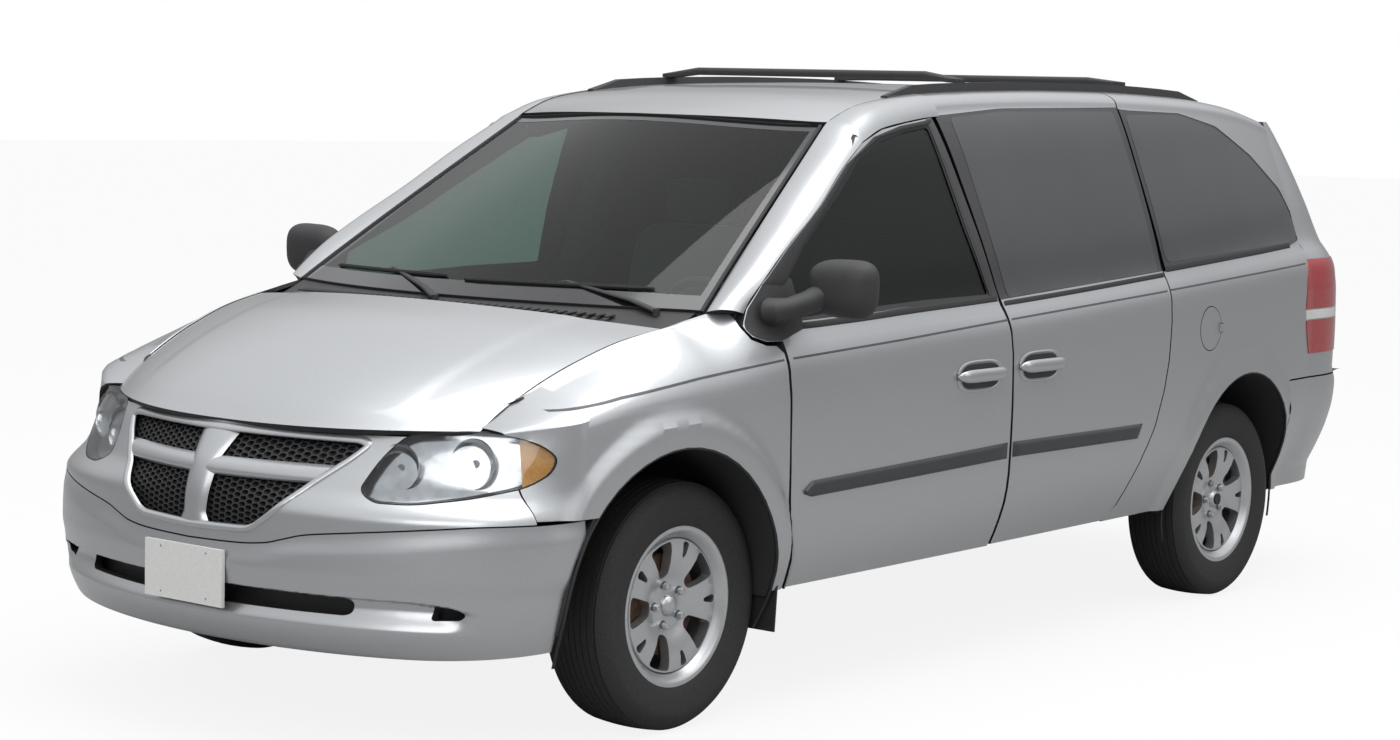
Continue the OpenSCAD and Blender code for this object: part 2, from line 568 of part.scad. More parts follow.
// Space the closed hood needs around itself.
module hood_room() {
    across = [-1.014, for (i = [0:12]) mix(-1, 1, i / 12), 1.014];
    along = [-0.013, for (j = [0:10]) j / 10, 1.008];
    function grid(d) = [for (t = along) [for (a = across) hood_pt(a, t) + [0, 0, d]]];
    slab(grid(12), grid(-30));
}
module hood_skin() {
    rows = 10;
    cols = 12;
    function at(i, j, t) = hood_pt(mix(-1, 1, i / cols), j / rows) - [0, 0, t];
    slab([for (j = [0:rows]) [for (i = [0:cols]) at(i, j, 22)]],
        [for (j = [0:rows]) [for (i = [0:cols]) at(i, j, 0)]]);
}

// Body half of a hood hinge.
module hood_bracket() translate(hood_axis) {
    along(38) cylinder(h = 76, r = hood_pin_r);
    for (e = [-38, 26]) translate([-8, e, 830 * roof_h / 1775 - hood_axis[2]])
        cube([16, 12, hood_axis[2] - 830 * roof_h / 1775 + 4]);
}

gate_outline = [[0, 752], [703, 752], [706, 900], [700, 1160], [668, 1400], [640, 1560], [612, 1664], [560, 1720],
    [0, 1730]];
gate_window = [[0, 1196], [590, 1206], [612, 1240], [575, 1430], [535, 1600], [500, 1640], [0, 1656]];
module rear_prism(pts, s0 = 3400) translate([X(4300), 0, 0]) rotate([90, 0, 90])
    linear_extrude(X(s0) - X(4300)) both2() polygon([for (p = pts) [Y(p[0]), Z(p[1])]]);
module tail_shell(zs, a0, a1, t0, t1) {
    n = a0 < 0 ? 20 : 8;
    angles = [for (i = [0:n]) mix(a0, a1, i / n)];
    slab([for (z = zs) [for (a = angles) tail(a, z, t1)]], [for (z = zs) [for (a = angles) tail(a, z, t0)]]);
}
module liftgate() {
    zs = [746, 760, 850, 950, 1060, 1150, 1250, 1350, 1450, 1550, 1640, 1712];
    difference() {
        union() {
            color(paint) resize([0, 0, 0]) difference() {
                intersection() {
                    tail_shell(zs, -62, 62, 0, 52);
                    rear_prism(gate_outline);
                }
                rear_prism(gate_window);
                side_cut([[3400, 1800], [3608, 1800], [3608, 1717], [3790, 1500], [3400, 1500]], -900, 900);
            }
            both() for (y = gate_hinge_y) gate_eye(y);
        }
        both() for (y = gate_hinge_y) along_y(gate_axis, y - 40, y + 40)
            circle(r = gate_pin_r + run_clear, $fn = 48);
    }
}
module gate_eye(y) color(paint) {
    along_y(gate_axis, y - 18, y + 18) circle(r = 11, $fn = 48);
    translate([X(gate_axis[0]), Y(y - 18), Z(gate_axis[1])]) rotate([0, 50, 0])
        translate([-5, 0, -74]) cube([10, 36, 66]);
}
module liftgate_glass() color(pane) resize([0, 0, 0]) intersection() {
    tail_shell([1180, 1250, 1350, 1450, 1550, 1620, 1670], -50, 50, 8, 13);
    rear_prism([for (p = gate_window) [max(0, p[0] - 0.5), p[1] + (p[1] > 1400 ? -0.5 : 0.5)]]);
}

/* ---------- wheels and running gear ---------- */

wheel_x = [x_front_axle, x_front_axle, x_rear_axle, x_rear_axle];
wheel_y = [track_front / 2, -track_front / 2, track_rear / 2, -track_rear / 2];
module at_wheel(i) translate([wheel_x[i], wheel_y[i], z_axle]) rotate([-90, 0, i % 2 == 0 ? 0 : 180]) children();

module tyre() {
    w = tyre_w / 2;
    r = tyre_d / 2;
    b = rim_d / 2;
    color([0.08, 0.08, 0.08]) rotate_extrude($fn = 96) polygon([[b, -w + 24], [b + 20, -w + 20], [b + 50, -w + 2],
        [r - 60, -w], [r - 30, -w + 4], [r - 12, -w + 13], [r - 3, -w + 30], [r, -w + 50], [r, w - 50],
        [r - 3, w - 30], [r - 12, w - 13], [r - 30, w - 4], [r - 60, w], [b + 50, w - 2], [b + 20, w - 20],
        [b, w - 24]]);
}
module front_left_tyre() at_wheel(0) tyre();
module front_right_tyre() at_wheel(1) tyre();
module rear_left_tyre() at_wheel(2) tyre();
module rear_right_tyre() at_wheel(3) tyre();

// Cast rim: local z points outwards along the wheel's axis.
module rim() {
    b = rim_d / 2;
    w = tyre_w / 2 - 23.6;
    color([0.7, 0.7, 0.71]) difference() {
        union() {
            rotate_extrude($fn = 96) polygon([[b - 18, -w - 9], [b + 17, -w - 9], [b + 17, -w - 3.8], [b, -w], [b, w],
                [b + 17, w + 3.8], [b + 19, w + 9], [b + 8, w + 10], [b - 10, w - 2], [b - 18, w - 16]]);
            translate([0, 0, 20]) cylinder(h = 44, r = b - 17, $fn = 96);
        }
        for (k = [0:4]) rotate(72 * k + 36) {
            translate([b - 62, 0, 0]) cylinder(h = 90, r = 40, $fn = 40);
            translate([b - 100, 0, 0]) cylinder(h = 90, r = 26, $fn = 40);
        }
        for (k = [0:4]) rotate(72 * k) translate([stud_pcd / 2, 0, 0]) cylinder(h = 90, r = 7.5, $fn = 32);
        translate([0, 0, -1]) cylinder(h = 73, r = spindle_r + run_clear, $fn = 64);
    }
}
module front_left_rim() at_wheel(0) rim();
module front_right_rim() at_wheel(1) rim();
module rear_left_rim() at_wheel(2) rim();
module rear_right_rim() at_wheel(3) rim();

kingpin_y = track_front / 2 - 65;
kingpin_r = 16;
module knuckle(i) color([0.45, 0.36, 0.3]) translate([x_front_axle, (i == 0 ? 1 : -1) * kingpin_y, z_axle])
    mirror([0, i, 0]) difference() {
        union() {
            translate([0, 0, -109.5]) cylinder(h = 212, r = 30);
            rotate([-90, 0, 0]) cylinder(h = 65 + 66, r = spindle_r, $fn = 64);
            translate([0, 32, 0]) rotate([-90, 0, 0]) cylinder(h = 22, r = 142, $fn = 64);
            translate([-165, 20, -55]) cube([60, 44, 110]);
        }
        translate([0, 0, -150]) cylinder(h = 300, r = kingpin_r + run_clear);
    }
module left_knuckle() knuckle(0);
module right_knuckle() knuckle(1);

module front_suspension() color([0.16, 0.16, 0.17]) {
    box(-130, 130, -439, 439, z_axle - 143, 258);
    both() {
        translate([x_front_axle - 26, 420, z_axle - 138]) cube([52, kingpin_y - 420, 28]);
        translate([x_front_axle, kingpin_y, z_axle - 138]) cylinder(h = 28, r = 26);
        translate([x_front_axle, kingpin_y, z_axle - 138]) cylinder(h = 275, r = kingpin_r);
        translate([x_front_axle, kingpin_y, z_axle + 103]) cylinder(h = 34, r = 24);
        translate([x_front_axle - 24, kingpin_y - 90, z_axle + 103]) cube([48, 90, 34]);
        translate([x_front_axle, kingpin_y - 90, z_axle + 103]) cylinder(h = 806 * roof_h / 1775 - z_axle - 103, r = 22);
    }
}

module rear_axle() color([0.16, 0.16, 0.17]) {
    y_end = track_rear / 2 - 95;
    translate([x_rear_axle - 30, -y_end, z_axle - 45]) cube([60, 2 * y_end, 60]);
    both() translate([x_rear_axle, y_end, z_axle]) rotate([-90, 0, 0]) {
        cylinder(h = 95 + 66, r = spindle_r, $fn = 64);
        translate([0, 0, -10]) cylinder(h = 14, r = 60, $fn = 48);
        translate([0, 0, 45]) cylinder(h = 30, r = 135, $fn = 64);
    }
    both() translate([0, 610, 0]) rotate([90, 0, 0]) linear_extrude(60) polygon(concat(
        [for (i = [-8:8]) [x_rear_axle + i * 62, z_axle + 15 + (372 - z_axle - 15) * roof_h / 1775 * pow(i / 8, 2)]],
        [for (i = [8:-1:-8]) [x_rear_axle + i * 62, z_axle + 1 + (372 - z_axle - 15) * roof_h / 1775 * pow(i / 8, 2)]]));
}

module wheel_liners() color(dark) both() {
    liner(arch_front[0] + 65, 500, 925, 392);
    liner(arch_rear[0], 664, 926, 3380);
}
module liner(s, y0, y1, s_max) difference() {
    translate([X(s), Y(y0), Z(352)]) rotate([-90, 0, 0]) difference() {
        cylinder(h = Y(y1) - Y(y0), r = Z(453.5), $fn = 96);
        translate([0, 0, -1]) cylinder(h = Y(y1) - Y(y0) + 2, r = Z(446), $fn = 96);
    }
    box(s - 700, s + 700, y0 - 5, y1 + 5, -150, 520);
    box(s_max, s_max + 300, y0 - 5, y1 + 5, -150, 900);
    translate([x_front_axle, kingpin_y - 90, 600]) cylinder(h = 400, r = 30);
}

module engine() color([0.3, 0.3, 0.3]) box(-440, 160, -400, 400, 258, 800);
module fuel_tank() color(dark) box(1500, 2350, -620, -120, 215, 372);
module exhaust() color([0.5, 0.5, 0.5]) {
    translate([X(3300), Y(300), 262]) rotate([0, 90, 0]) cylinder(h = X(420) - X(3300), r = 25, $fn = 32);
    translate([X(3800), Y(300), 262]) scale([1, 1.4, 1]) rotate([0, 90, 0]) cylinder(h = 520, r = 68, $fn = 40);
    for (s = [900, 2200]) box(s, s + 20, 290, 310, 262, 372);
    box(3500, 3530, 290, 310, 262, 372);
}

/* ---------- inside ---------- */

column_angle = 62;
wheel_hub = [X(800), Y(370), Z(1010)];
module dashboard() difference() {
    color([0.45, 0.46, 0.47]) union() {
        side_cut([[405, 740.3], [405, 840], [200, 840], [200, 1040], [330, 1075], [560, 1050], [640, 960],
            [600, 740.3]], -712, 712);
        translate(wheel_hub) rotate([0, 180 - column_angle, 0]) translate([0, 0, 40]) cylinder(h = 170, r = 34);
    }
    translate(wheel_hub) rotate([0, 180 - column_angle, 0]) translate([0, 0, 30])
        cylinder(h = 120, r = 12 + run_clear);
}
// Steering wheel; its axis leans back towards the driver.
module steering_wheel() color([0.4, 0.4, 0.41]) translate(wheel_hub) rotate([0, 180 - column_angle, 0]) {
    rotate_extrude($fn = 72) translate([wheel_d / 2 - 15, 0]) circle(r = 15, $fn = 24);
    cylinder(h = 32, r = 55);
    for (k = [0:3]) rotate(90 * k + 45) translate([0, -16, 4]) cube([wheel_d / 2 - 15, 32, 12]);
    cylinder(h = 140, r = 12);
}
module seat(s, y, w) {
    box(s, s + 440, y - w / 2 + 60, y + w / 2 - 60, 398, 560);
    side_cut([[s, 560], [s - 20, 700], [s + 430, 690], [s + 560, 1290], [s + 660, 1290], [s + 560, 560]],
        Y(y - w / 2), Y(y + w / 2));
    box(s + 580, s + 650, y - 130, y + 130, 1290, 1440);
}
module seats() color([0.55, 0.55, 0.54]) {
    for (s = [1020, 1830], y = [-380, 380]) seat(s, y, seat_w);
    seat(2680, 0, 1240);
}

/* ---------- small outside pieces ---------- */

module headlamps() color([0.85, 0.87, 0.88]) both() resize([0, 0, 0]) difference() {
    intersection() {
        nose_shell([[0, 650], [90, 650]], [[0, 862], [90, 862]], 20, 88, 1, 60, 3);
        headlamp_prism(0);
    }
    hood_room();
}
module tail_lamps() color([0.7, 0.1, 0.1]) both() resize([0, 0, 0]) intersection() {
    tail_shell([860, 950, 1050, 1150, 1200], 30, 88, 0, 45);
    tail_lamp_cut(0);
}
module roof_rack() color(dark) {
    both() loft([for (i = [0:14]) let(s = mix(1310, 3250, i / 14), h = i == 0 || i == 14 ? 6 : 26,
        y = rail_span / 2, w = 15, z = roof_z(s, y) + 0.4)
        [[s, y - w, roof_z(s, y - w) + 0.9], [s, y - w * 0.7, z + h], [s, y + w * 0.7, z + h],
        [s, y + w, roof_z(s, y + w) + 0.9]]]);
    for (s = [1720, 2720]) translate([X(s), 0, Z(1775) + 28]) {
        rotate([90, 0, 0]) translate([0, 0, -rail_span / 2 + 130]) cylinder(h = rail_span - 260, r = bar_r, $fn = 48);
        both() bar_end(s);
    }
}
// Sloping end of a crossbar with the foot that clamps on the rail.
module bar_end(s) {
    drop = Z(1775) + 28 - Z(roof_z(s, rail_span / 2) + 26);
    hull() {
        translate([0, rail_span / 2 - 132, 0]) rotate([-90, 0, 0]) cylinder(h = 2, r = bar_r, $fn = 24);
        translate([-30, rail_span / 2 - 22, -drop]) cube([60, 26, 12]);
    }
}
module cowl_panel() {
    cols = 12;
    function front(a) = let(y = a * 790, r = hood_rear(y)) [r[0] + 16, y, r[1] - 16];
    function back(a) = ws(a * 0.98, 0.0005) - [0, 0, 3];
    function at(i, j, t) = let(a = mix(-1, 1, i / cols)) mix(front(a), back(a), j / 3) - [0, 0, t];
    color(dark) resize([0, 0, 0]) difference() {
        slab([for (j = [0:3]) [for (i = [0:cols]) at(i, j, 12)]], [for (j = [0:3]) [for (i = [0:cols]) at(i, j, 0)]]);
        both() translate(hood_axis - [22, 42, 60]) cube([90, 84, 120]);
    }
}

// Round fuel door, hinged on an exposed barrel at its rear edge.
fuel_at = [2736, 970];
fuel_r = 74;
fuel_pin_r = 3;
module at_fuel_hinge() translate([2 - fuel_r, 6, 0]) children();
module fuel_door() color(paint) translate([X(fuel_at[0]), Y(979), Z(fuel_at[1])]) difference() {
    union() {
        difference() {
            rotate([-90, 0, 0]) cylinder(h = 3, r = fuel_r, $fn = 64);
            translate([-fuel_r - 1, -1, -17]) cube([14, 5, 34]);
        }
        at_fuel_hinge() translate([0, 0, -8.5]) cylinder(h = 17, r = 6);
        at_fuel_hinge() translate([0, -6, -8.5]) cube([16, 6, 17]);
    }
    at_fuel_hinge() translate([0, 0, -30]) cylinder(h = 60, r = fuel_pin_r + run_clear, $fn = 32);
}
module fuel_cup() translate([X(fuel_at[0]), Y(979), Z(fuel_at[1])]) {
    rotate([90, 0, 0]) difference() {
        translate([0, 0, 27.5]) cylinder(h = 50, r = fuel_r + 16, $fn = 64);
        translate([0, 0, 20]) cylinder(h = 51, r = fuel_r + 8, $fn = 64);
    }
    at_fuel_hinge() translate([0, 0, -16]) cylinder(h = 32, r = fuel_pin_r, $fn = 32);
    for (e = [-16, 11]) at_fuel_hinge() {
        translate([-4.5, -50, e]) cube([8, 54, 5]);
        translate([-18, -50, e]) cube([20, 14, 5]);
    }
}

floor_pan();
side_frame();
roof_panel();
quarter_panels();
fenders();
front_fascia();
grille();
front_bumper();
rear_bumper();
windshield();
cowl_panel();
front_plate();
dashboard();
seats();
headlamps();
tail_lamps();
roof_rack();
left_sliding_door();
right_sliding_door();
rear_side_glass();
wheel_liners();
engine();
fuel_tank();
exhaust();
front_suspension();
rear_axle();
hood();
left_front_door();
right_front_door();
left_door_glass();
right_door_glass();
left_mirror();
right_mirror();
liftgate();
liftgate_glass();
left_knuckle();
right_knuckle();
steering_wheel();
fuel_door();
front_left_tyre();
front_right_tyre();
rear_left_tyre();
rear_right_tyre();
front_left_rim();
front_right_rim();
rear_left_rim();
rear_right_rim();
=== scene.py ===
import bpy
import numpy as np
from math import radians, cos, sin, pi
from mathutils import Matrix, Vector


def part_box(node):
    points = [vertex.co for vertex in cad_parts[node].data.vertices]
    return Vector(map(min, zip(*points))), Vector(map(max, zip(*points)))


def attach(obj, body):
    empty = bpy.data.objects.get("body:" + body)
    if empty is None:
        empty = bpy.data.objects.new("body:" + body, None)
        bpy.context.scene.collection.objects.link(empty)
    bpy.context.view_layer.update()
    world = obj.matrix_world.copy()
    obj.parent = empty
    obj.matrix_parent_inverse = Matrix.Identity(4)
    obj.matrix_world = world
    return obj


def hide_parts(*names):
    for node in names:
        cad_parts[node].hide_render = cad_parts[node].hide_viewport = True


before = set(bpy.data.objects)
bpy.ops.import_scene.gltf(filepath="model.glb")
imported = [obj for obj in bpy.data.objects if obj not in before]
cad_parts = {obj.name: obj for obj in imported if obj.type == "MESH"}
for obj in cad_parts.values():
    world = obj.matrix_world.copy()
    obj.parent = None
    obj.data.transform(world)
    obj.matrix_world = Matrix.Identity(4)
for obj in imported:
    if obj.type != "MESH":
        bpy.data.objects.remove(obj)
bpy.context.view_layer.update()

# Camera: a long lens at head height, ahead of the left front wheel and looking slightly down.
camera = bpy.data.objects.new("Camera", bpy.data.cameras.new("Camera"))
bpy.context.scene.collection.objects.link(camera)
bpy.context.scene.camera = camera
camera.data.lens = 73.22
camera.data.sensor_width = 36.0
camera.data.shift_x = -0.0077
camera.data.shift_y = 0.0021
camera.data.clip_end = 200.0
yaw, pitch, roll = radians(38.58), radians(5.58), radians(1.36)
back = Vector((cos(yaw) * cos(pitch), sin(yaw) * cos(pitch), sin(pitch)))
level = Vector((-sin(yaw), cos(yaw), 0.0))
above = back.cross(level)
right = cos(roll) * level + sin(roll) * above
upward = cos(roll) * above - sin(roll) * level
turned = Matrix((right, upward, back)).transposed().to_4x4()
camera.matrix_world = Matrix.Translation((7.4785, 5.696, 1.724)) @ turned

# Studio: a pale floor that meets a white surround, one broad soft lamp overhead and a weaker one in front.
scene = bpy.context.scene
scene.view_settings.view_transform = "Standard"


def nodes_of(name):
    material = bpy.data.materials.new(name)
    material.use_nodes = True
    return material, material.node_tree.nodes, material.node_tree.links


def studio():
    world = bpy.data.worlds.new("surround")
    scene.world = world
    world.use_nodes = True
    tree = world.node_tree
    tree.nodes.clear()
    out = tree.nodes.new("ShaderNodeOutputWorld")
    mix = tree.nodes.new("ShaderNodeMixShader")
    seen = tree.nodes.new("ShaderNodeBackground")
    seen.inputs["Color"].default_value = (1.0, 1.0, 1.0, 1.0)
    lit = tree.nodes.new("ShaderNodeBackground")
    place = tree.nodes.new("ShaderNodeTexCoord")
    split = tree.nodes.new("ShaderNodeSeparateXYZ")
    ramp = tree.nodes.new("ShaderNodeValToRGB")
    stops = [(0.0, 0.10), (0.44, 0.13), (0.505, 0.30), (0.60, 0.34), (0.74, 0.82), (0.90, 1.0), (1.0, 1.05)]
    while len(ramp.color_ramp.elements) < len(stops):
        ramp.color_ramp.elements.new(0.5)
    for stop, (at, grey) in zip(ramp.color_ramp.elements, stops):
        stop.position = at
        stop.color = (grey, grey * 1.01, grey * 1.025, 1.0)
    scale = tree.nodes.new("ShaderNodeMapRange")
    scale.inputs["From Min"].default_value = -1.0
    path = tree.nodes.new("ShaderNodeLightPath")
    links = tree.links
    links.new(place.outputs["Generated"], split.inputs[0])
    links.new(split.outputs["Z"], scale.inputs["Value"])
    links.new(scale.outputs[0], ramp.inputs[0])
    links.new(ramp.outputs[0], lit.inputs["Color"])
    links.new(path.outputs["Is Camera Ray"], mix.inputs[0])
    links.new(lit.outputs[0], mix.inputs[1])
    links.new(seen.outputs[0], mix.inputs[2])
    links.new(mix.outputs[0], out.inputs["Surface"])


studio()


def lamp(name, place, aim, size, watts):
    light = bpy.data.lights.new(name, "AREA")
    light.energy = watts
    light.size = size
    holder = bpy.data.objects.new(name, light)
    scene.collection.objects.link(holder)
    holder.location = place
    holder.rotation_euler = (Vector(aim) - Vector(place)).to_track_quat("-Z", "Y").to_euler()


lamp("Overhead", (0.5, 1.5, 7.0), (0.0, 0.0, 0.8), 7.0, 330)
lamp("Front", (8.0, 3.0, 4.5), (0.8, 0.0, 0.8), 4.0, 120)
lamp("Side", (-1.0, 8.0, 4.5), (0.0, 0.0, 0.8), 5.0, 60)


def deselect():
    for thing in bpy.context.selected_objects:
        thing.select_set(False)


deselect()
bpy.ops.mesh.primitive_plane_add(size=120.0, location=(0.0, 0.0, -0.001))
floor = bpy.context.object
floor.name = "Floor"
floor_finish, nodes, links = nodes_of("pale floor")
nodes["Principled BSDF"].inputs["Base Color"].default_value = (0.34, 0.34, 0.34, 1.0)
nodes["Principled BSDF"].inputs["Roughness"].default_value = 0.9
glow = nodes.new("ShaderNodeEmission")
glow.inputs["Strength"].default_value = 1.18
both = nodes.new("ShaderNodeMixShader")
path = nodes.new("ShaderNodeLightPath")
scaled = nodes.new("ShaderNodeMath")
scaled.operation = "MULTIPLY"
scaled.inputs[1].default_value = 0.74
links.new(path.outputs["Is Camera Ray"], scaled.inputs[0])
links.new(scaled.outputs[0], both.inputs[0])
links.new(nodes["Principled BSDF"].outputs[0], both.inputs[1])
links.new(glow.outputs[0], both.inputs[2])
links.new(both.outputs[0], nodes["Material Output"].inputs["Surface"])
floor.data.materials.append(floor_finish)


# ---- floor and front structure ----
# The welded floor, firewall, front rails and the two beams behind the bumpers are pressed steel in
# black underbody wax. The CAD node is the finished shape and only takes its coating here.
def two_tones(nodes, dark, light, start=0.0, end=1.0):
    tones = nodes.new("ShaderNodeValToRGB")
    for stop, colour, at in zip(tones.color_ramp.elements, (dark, light), (start, end)):
        stop.color = (*colour, 1.0)
        stop.position = at
    return tones


def speckled(name, dark, light, size, rough, bump, metallic=0.0, coat=0.0):
    """Two close tones in fine noise, with the same noise as a slight bump."""
    material, nodes, links = nodes_of(name)
    shader = nodes["Principled BSDF"]
    place = nodes.new("ShaderNodeTexCoord")
    turn = nodes.new("ShaderNodeMapping")
    noise = nodes.new("ShaderNodeTexNoise")
    noise.inputs["Scale"].default_value = size
    noise.inputs["Detail"].default_value = 3.0
    tones = two_tones(nodes, dark, light, 0.3, 0.7)
    relief = nodes.new("ShaderNodeBump")
    relief.inputs["Strength"].default_value = bump
    relief.inputs["Distance"].default_value = 0.001
    links.new(place.outputs["Object"], turn.inputs[0])
    links.new(turn.outputs[0], noise.inputs["Vector"])
    links.new(noise.outputs["Fac"], tones.inputs[0])
    links.new(noise.outputs["Fac"], relief.inputs["Height"])
    links.new(tones.outputs[0], shader.inputs["Base Color"])
    links.new(relief.outputs[0], shader.inputs["Normal"])
    shader.inputs["Roughness"].default_value = rough
    shader.inputs["Metallic"].default_value = metallic
    shader.inputs["Coat Weight"].default_value = coat
    shader.inputs["Coat Roughness"].default_value = 0.08
    return material


def finish_node(name, material):
    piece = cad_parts[name]
    if not piece.data.materials:
        piece.data.materials.append(material)
    for slot in piece.material_slots:
        slot.material = material


wax = speckled("underbody wax", (0.012, 0.012, 0.013), (0.03, 0.03, 0.032), 60.0, 0.6, 0.4)
finish_node("floor_pan", wax)

# ---- pillars and roof rails ----
# Closed steel sections between floor and roof, in black. Their shape is the CAD node's; the painted
# windscreen pillars get their own skin further down.
finish_node("side_frame", wax)


# ---- quarter panels ----
# One steel pressing on each side from the sliding door's edge to the liftgate, over the rear wheel.
# It is welded to the floor and roof and painted silver with the rest of the body.
def curve(points, x):
    """Smooth monotone curve through [x, value] points, flat outside them."""
    px, py = np.array(points, float).T
    x = np.clip(np.asarray(x, float), px[0], px[-1])
    width, step = np.diff(px), np.diff(py)
    secant = step / width
    slope = np.empty(len(px))
    slope[0], slope[-1] = secant[0], secant[-1]
    joined = secant[:-1] * secant[1:]
    slope[1:-1] = np.where(joined > 0, 2 * joined / np.where(joined > 0, secant[:-1] + secant[1:], 1.0), 0.0)
    i = np.clip(np.searchsorted(px, x, side="right") - 1, 0, len(px) - 2)
    t, h = (x - px[i]) / width[i], width[i]
    return (py[i] * (1 + 2 * t) * (1 - t) ** 2 + py[i + 1] * t * t * (3 - 2 * t)
            + h * slope[i] * t * (1 - t) ** 2 - h * slope[i + 1] * t * t * (1 - t))


def mix(a, b, t):
    return a + (b - a) * t


def smooth(t):
    t = np.clip(t, 0.0, 1.0)
    return t * t * (3 - 2 * t)


# Lines of the body side in millimetres, against the distance s behind the front axle.
PLAN = [[-450, 945], [-200, 968], [100, 978], [500, 987], [1000, 992], [1500, 994], [2300, 992],
        [2900, 980], [3400, 958], [3600, 940], [3900, 900]]
SHOULDER_Z = [[-620, 845], [-500, 912], [-350, 985], [-150, 1050], [60, 1088], [230, 1085],
              [400, 1062], [700, 1070], [1000, 1083], [1486, 1101], [2478, 1156], [3475, 1223], [4000, 1255]]
SHOULDER_Y = [[-620, 705], [-350, 760], [-100, 792], [60, 815], [230, 885], [400, 938],
              [1000, 949], [2478, 947], [3100, 925], [3475, 895], [3700, 865], [4000, 830]]
CREASE_Z = [[-620, 838], [-576, 853], [-409, 890], [-323, 904], [100, 928], [400, 946], [1477, 1001],
            [2445, 1056], [3475, 1118], [4000, 1150]]
BELOW = [[0, 7], [60, 1], [200, 0], [400, 4], [480, 12], [560, 34], [640, 66], [720, 104]]
ABOVE = [[0, 0], [25, 12], [150, 56], [350, 134], [520, 206], [600, 252], [660, 312], [720, 420]]
FRONT_ARCH = (-95, 352, 425, 442, 98)
REAR_ARCH = (3014, 352, 424, 452, 78)
NOSE = [[200, 800], [240, 870], [280, 922], [350, 954], [440, 960], [520, 954], [560, 948],
        [640, 940], [727, 914], [790, 872], [835, 832]]
TAIL = [[330, 4075], [420, 4108], [560, 4123], [700, 4118], [745, 4090], [760, 4062], [900, 4062],
        [1060, 4052], [1165, 4040], [1250, 4005], [1370, 3945], [1520, 3850], [1640, 3735], [1712, 3600]]
ROOF = [[840, 1660], [1000, 1694], [1250, 1738], [1600, 1765], [2100, 1775], [2700, 1773],
        [3200, 1755], [3450, 1732], [3600, 1712]]
ROOF_EDGE = [[840, 1590], [955, 1632], [1141, 1700], [1300, 1724], [1465, 1741], [1800, 1755], [2200, 1763],
             [2500, 1764], [3000, 1753], [3300, 1731], [3503, 1697], [3600, 1676]]
NOSE_HALF = [[200, 850], [280, 905], [420, 938], [600, 947], [760, 940], [835, 915]]


def flare(s, z, arch):
    reach = np.hypot((s - arch[0]) * arch[3] / arch[2], z - arch[1])
    return 20 * smooth((arch[3] + arch[4] - reach) / 40)


def nose_power(z):
    return curve([[200, 1], [625, 1], [700, 1.3], [760, 1.38], [835, 1.38]], z)


def side_y(s, z):
    """Half width of the body side."""
    s, z = np.asarray(s, float), np.asarray(z, float)
    w, zc, zs, ys = curve(PLAN, s), curve(CREASE_Z, s), curve(SHOULDER_Z, s), curve(SHOULDER_Y, s)
    low = w - curve(BELOW, zc - z)
    rise = np.clip((z - zc) / (zs - zc), 0.0, 1.0)
    mid = mix(w - 7, ys, rise ** 1.8)
    high = ys - curve(ABOVE, z - zs)
    y = np.where(z <= zc, low, np.where(z <= zs, mid, high))
    f, e = curve(NOSE, z), nose_power(z)
    narrow = np.clip(1 - (np.maximum(0, -450 - s) / (f - 450)) ** (2 / e), 0, 1) ** (e / 2)
    return y * narrow + np.maximum(flare(s, z, FRONT_ARCH), flare(s, z, REAR_ARCH))


def power(value, exponent):
    return np.sign(value) * np.abs(value) ** exponent


def nose(a, z, inset=0.0):
    """Nose surface: angle 0 is the centre line and 90 the side."""
    a = np.radians(a)
    e = nose_power(z)
    s = -450 - (curve(NOSE, z) - 450 - inset) * np.maximum(0, np.cos(a)) ** e
    return s, (curve(NOSE_HALF, z) - inset) * power(np.sin(a), e), z + 0 * s


def tail(a, z, inset=0.0):
    a = np.radians(a)
    s = 3560 + (curve(TAIL, z) - 3560 - inset) * np.maximum(0, np.cos(a)) ** 0.62
    return s, (side_y(3560, z) - inset) * power(np.sin(a), 0.62), z + 0 * s


def roof_z(s, y):
    out = np.abs(y) / 620
    return mix(curve(ROOF, s), curve(ROOF_EDGE, s), 0.7 * out ** 2.2 + 0.3 * out ** 6)


def side_top(s):
    return roof_z(s, 618) - 48


def place(s, y, z):
    """Metres on the vehicle, from s, y and z in millimetres."""
    return np.stack(np.broadcast_arrays((1576.5 - s) / 1000, y / 1000, z / 1000), axis=-1)


def points_of(piece):
    """The piece's mesh points, one row each, in metres."""
    at = np.empty(len(piece.data.vertices) * 3)
    piece.data.vertices.foreach_get("co", at)
    return at.reshape(-1, 3)


def move_points(piece, at):
    piece.data.vertices.foreach_set("co", at.astype(np.float32).ravel())


def use(piece):
    deselect()
    bpy.context.view_layer.objects.active = piece
    piece.select_set(True)
    return piece


def edit_all(piece, *steps):
    """Edits all of a piece's mesh: each step is an operator with its options."""
    use(piece)
    bpy.ops.object.mode_set(mode="EDIT")
    bpy.ops.mesh.select_all(action="SELECT")
    for operator, options in steps:
        operator(**options)
    bpy.ops.object.mode_set(mode="OBJECT")
    return piece


FLIP = (bpy.ops.mesh.flip_normals, {})
FACE_OUT = (bpy.ops.mesh.normals_make_consistent, {"inside": False})
SWAP_SIDES = (bpy.ops.transform.resize, {"value": (1, -1, 1), "center_override": (0, 0, 0)})


def weld(gap):
    return bpy.ops.mesh.remove_doubles, {"threshold": gap}


def apply_modifier(piece, kind, **settings):
    use(piece)
    change = piece.modifiers.new("change", kind)
    for setting, value in settings.items():
        setattr(change, setting, value)
    bpy.ops.object.modifier_apply(modifier="change")


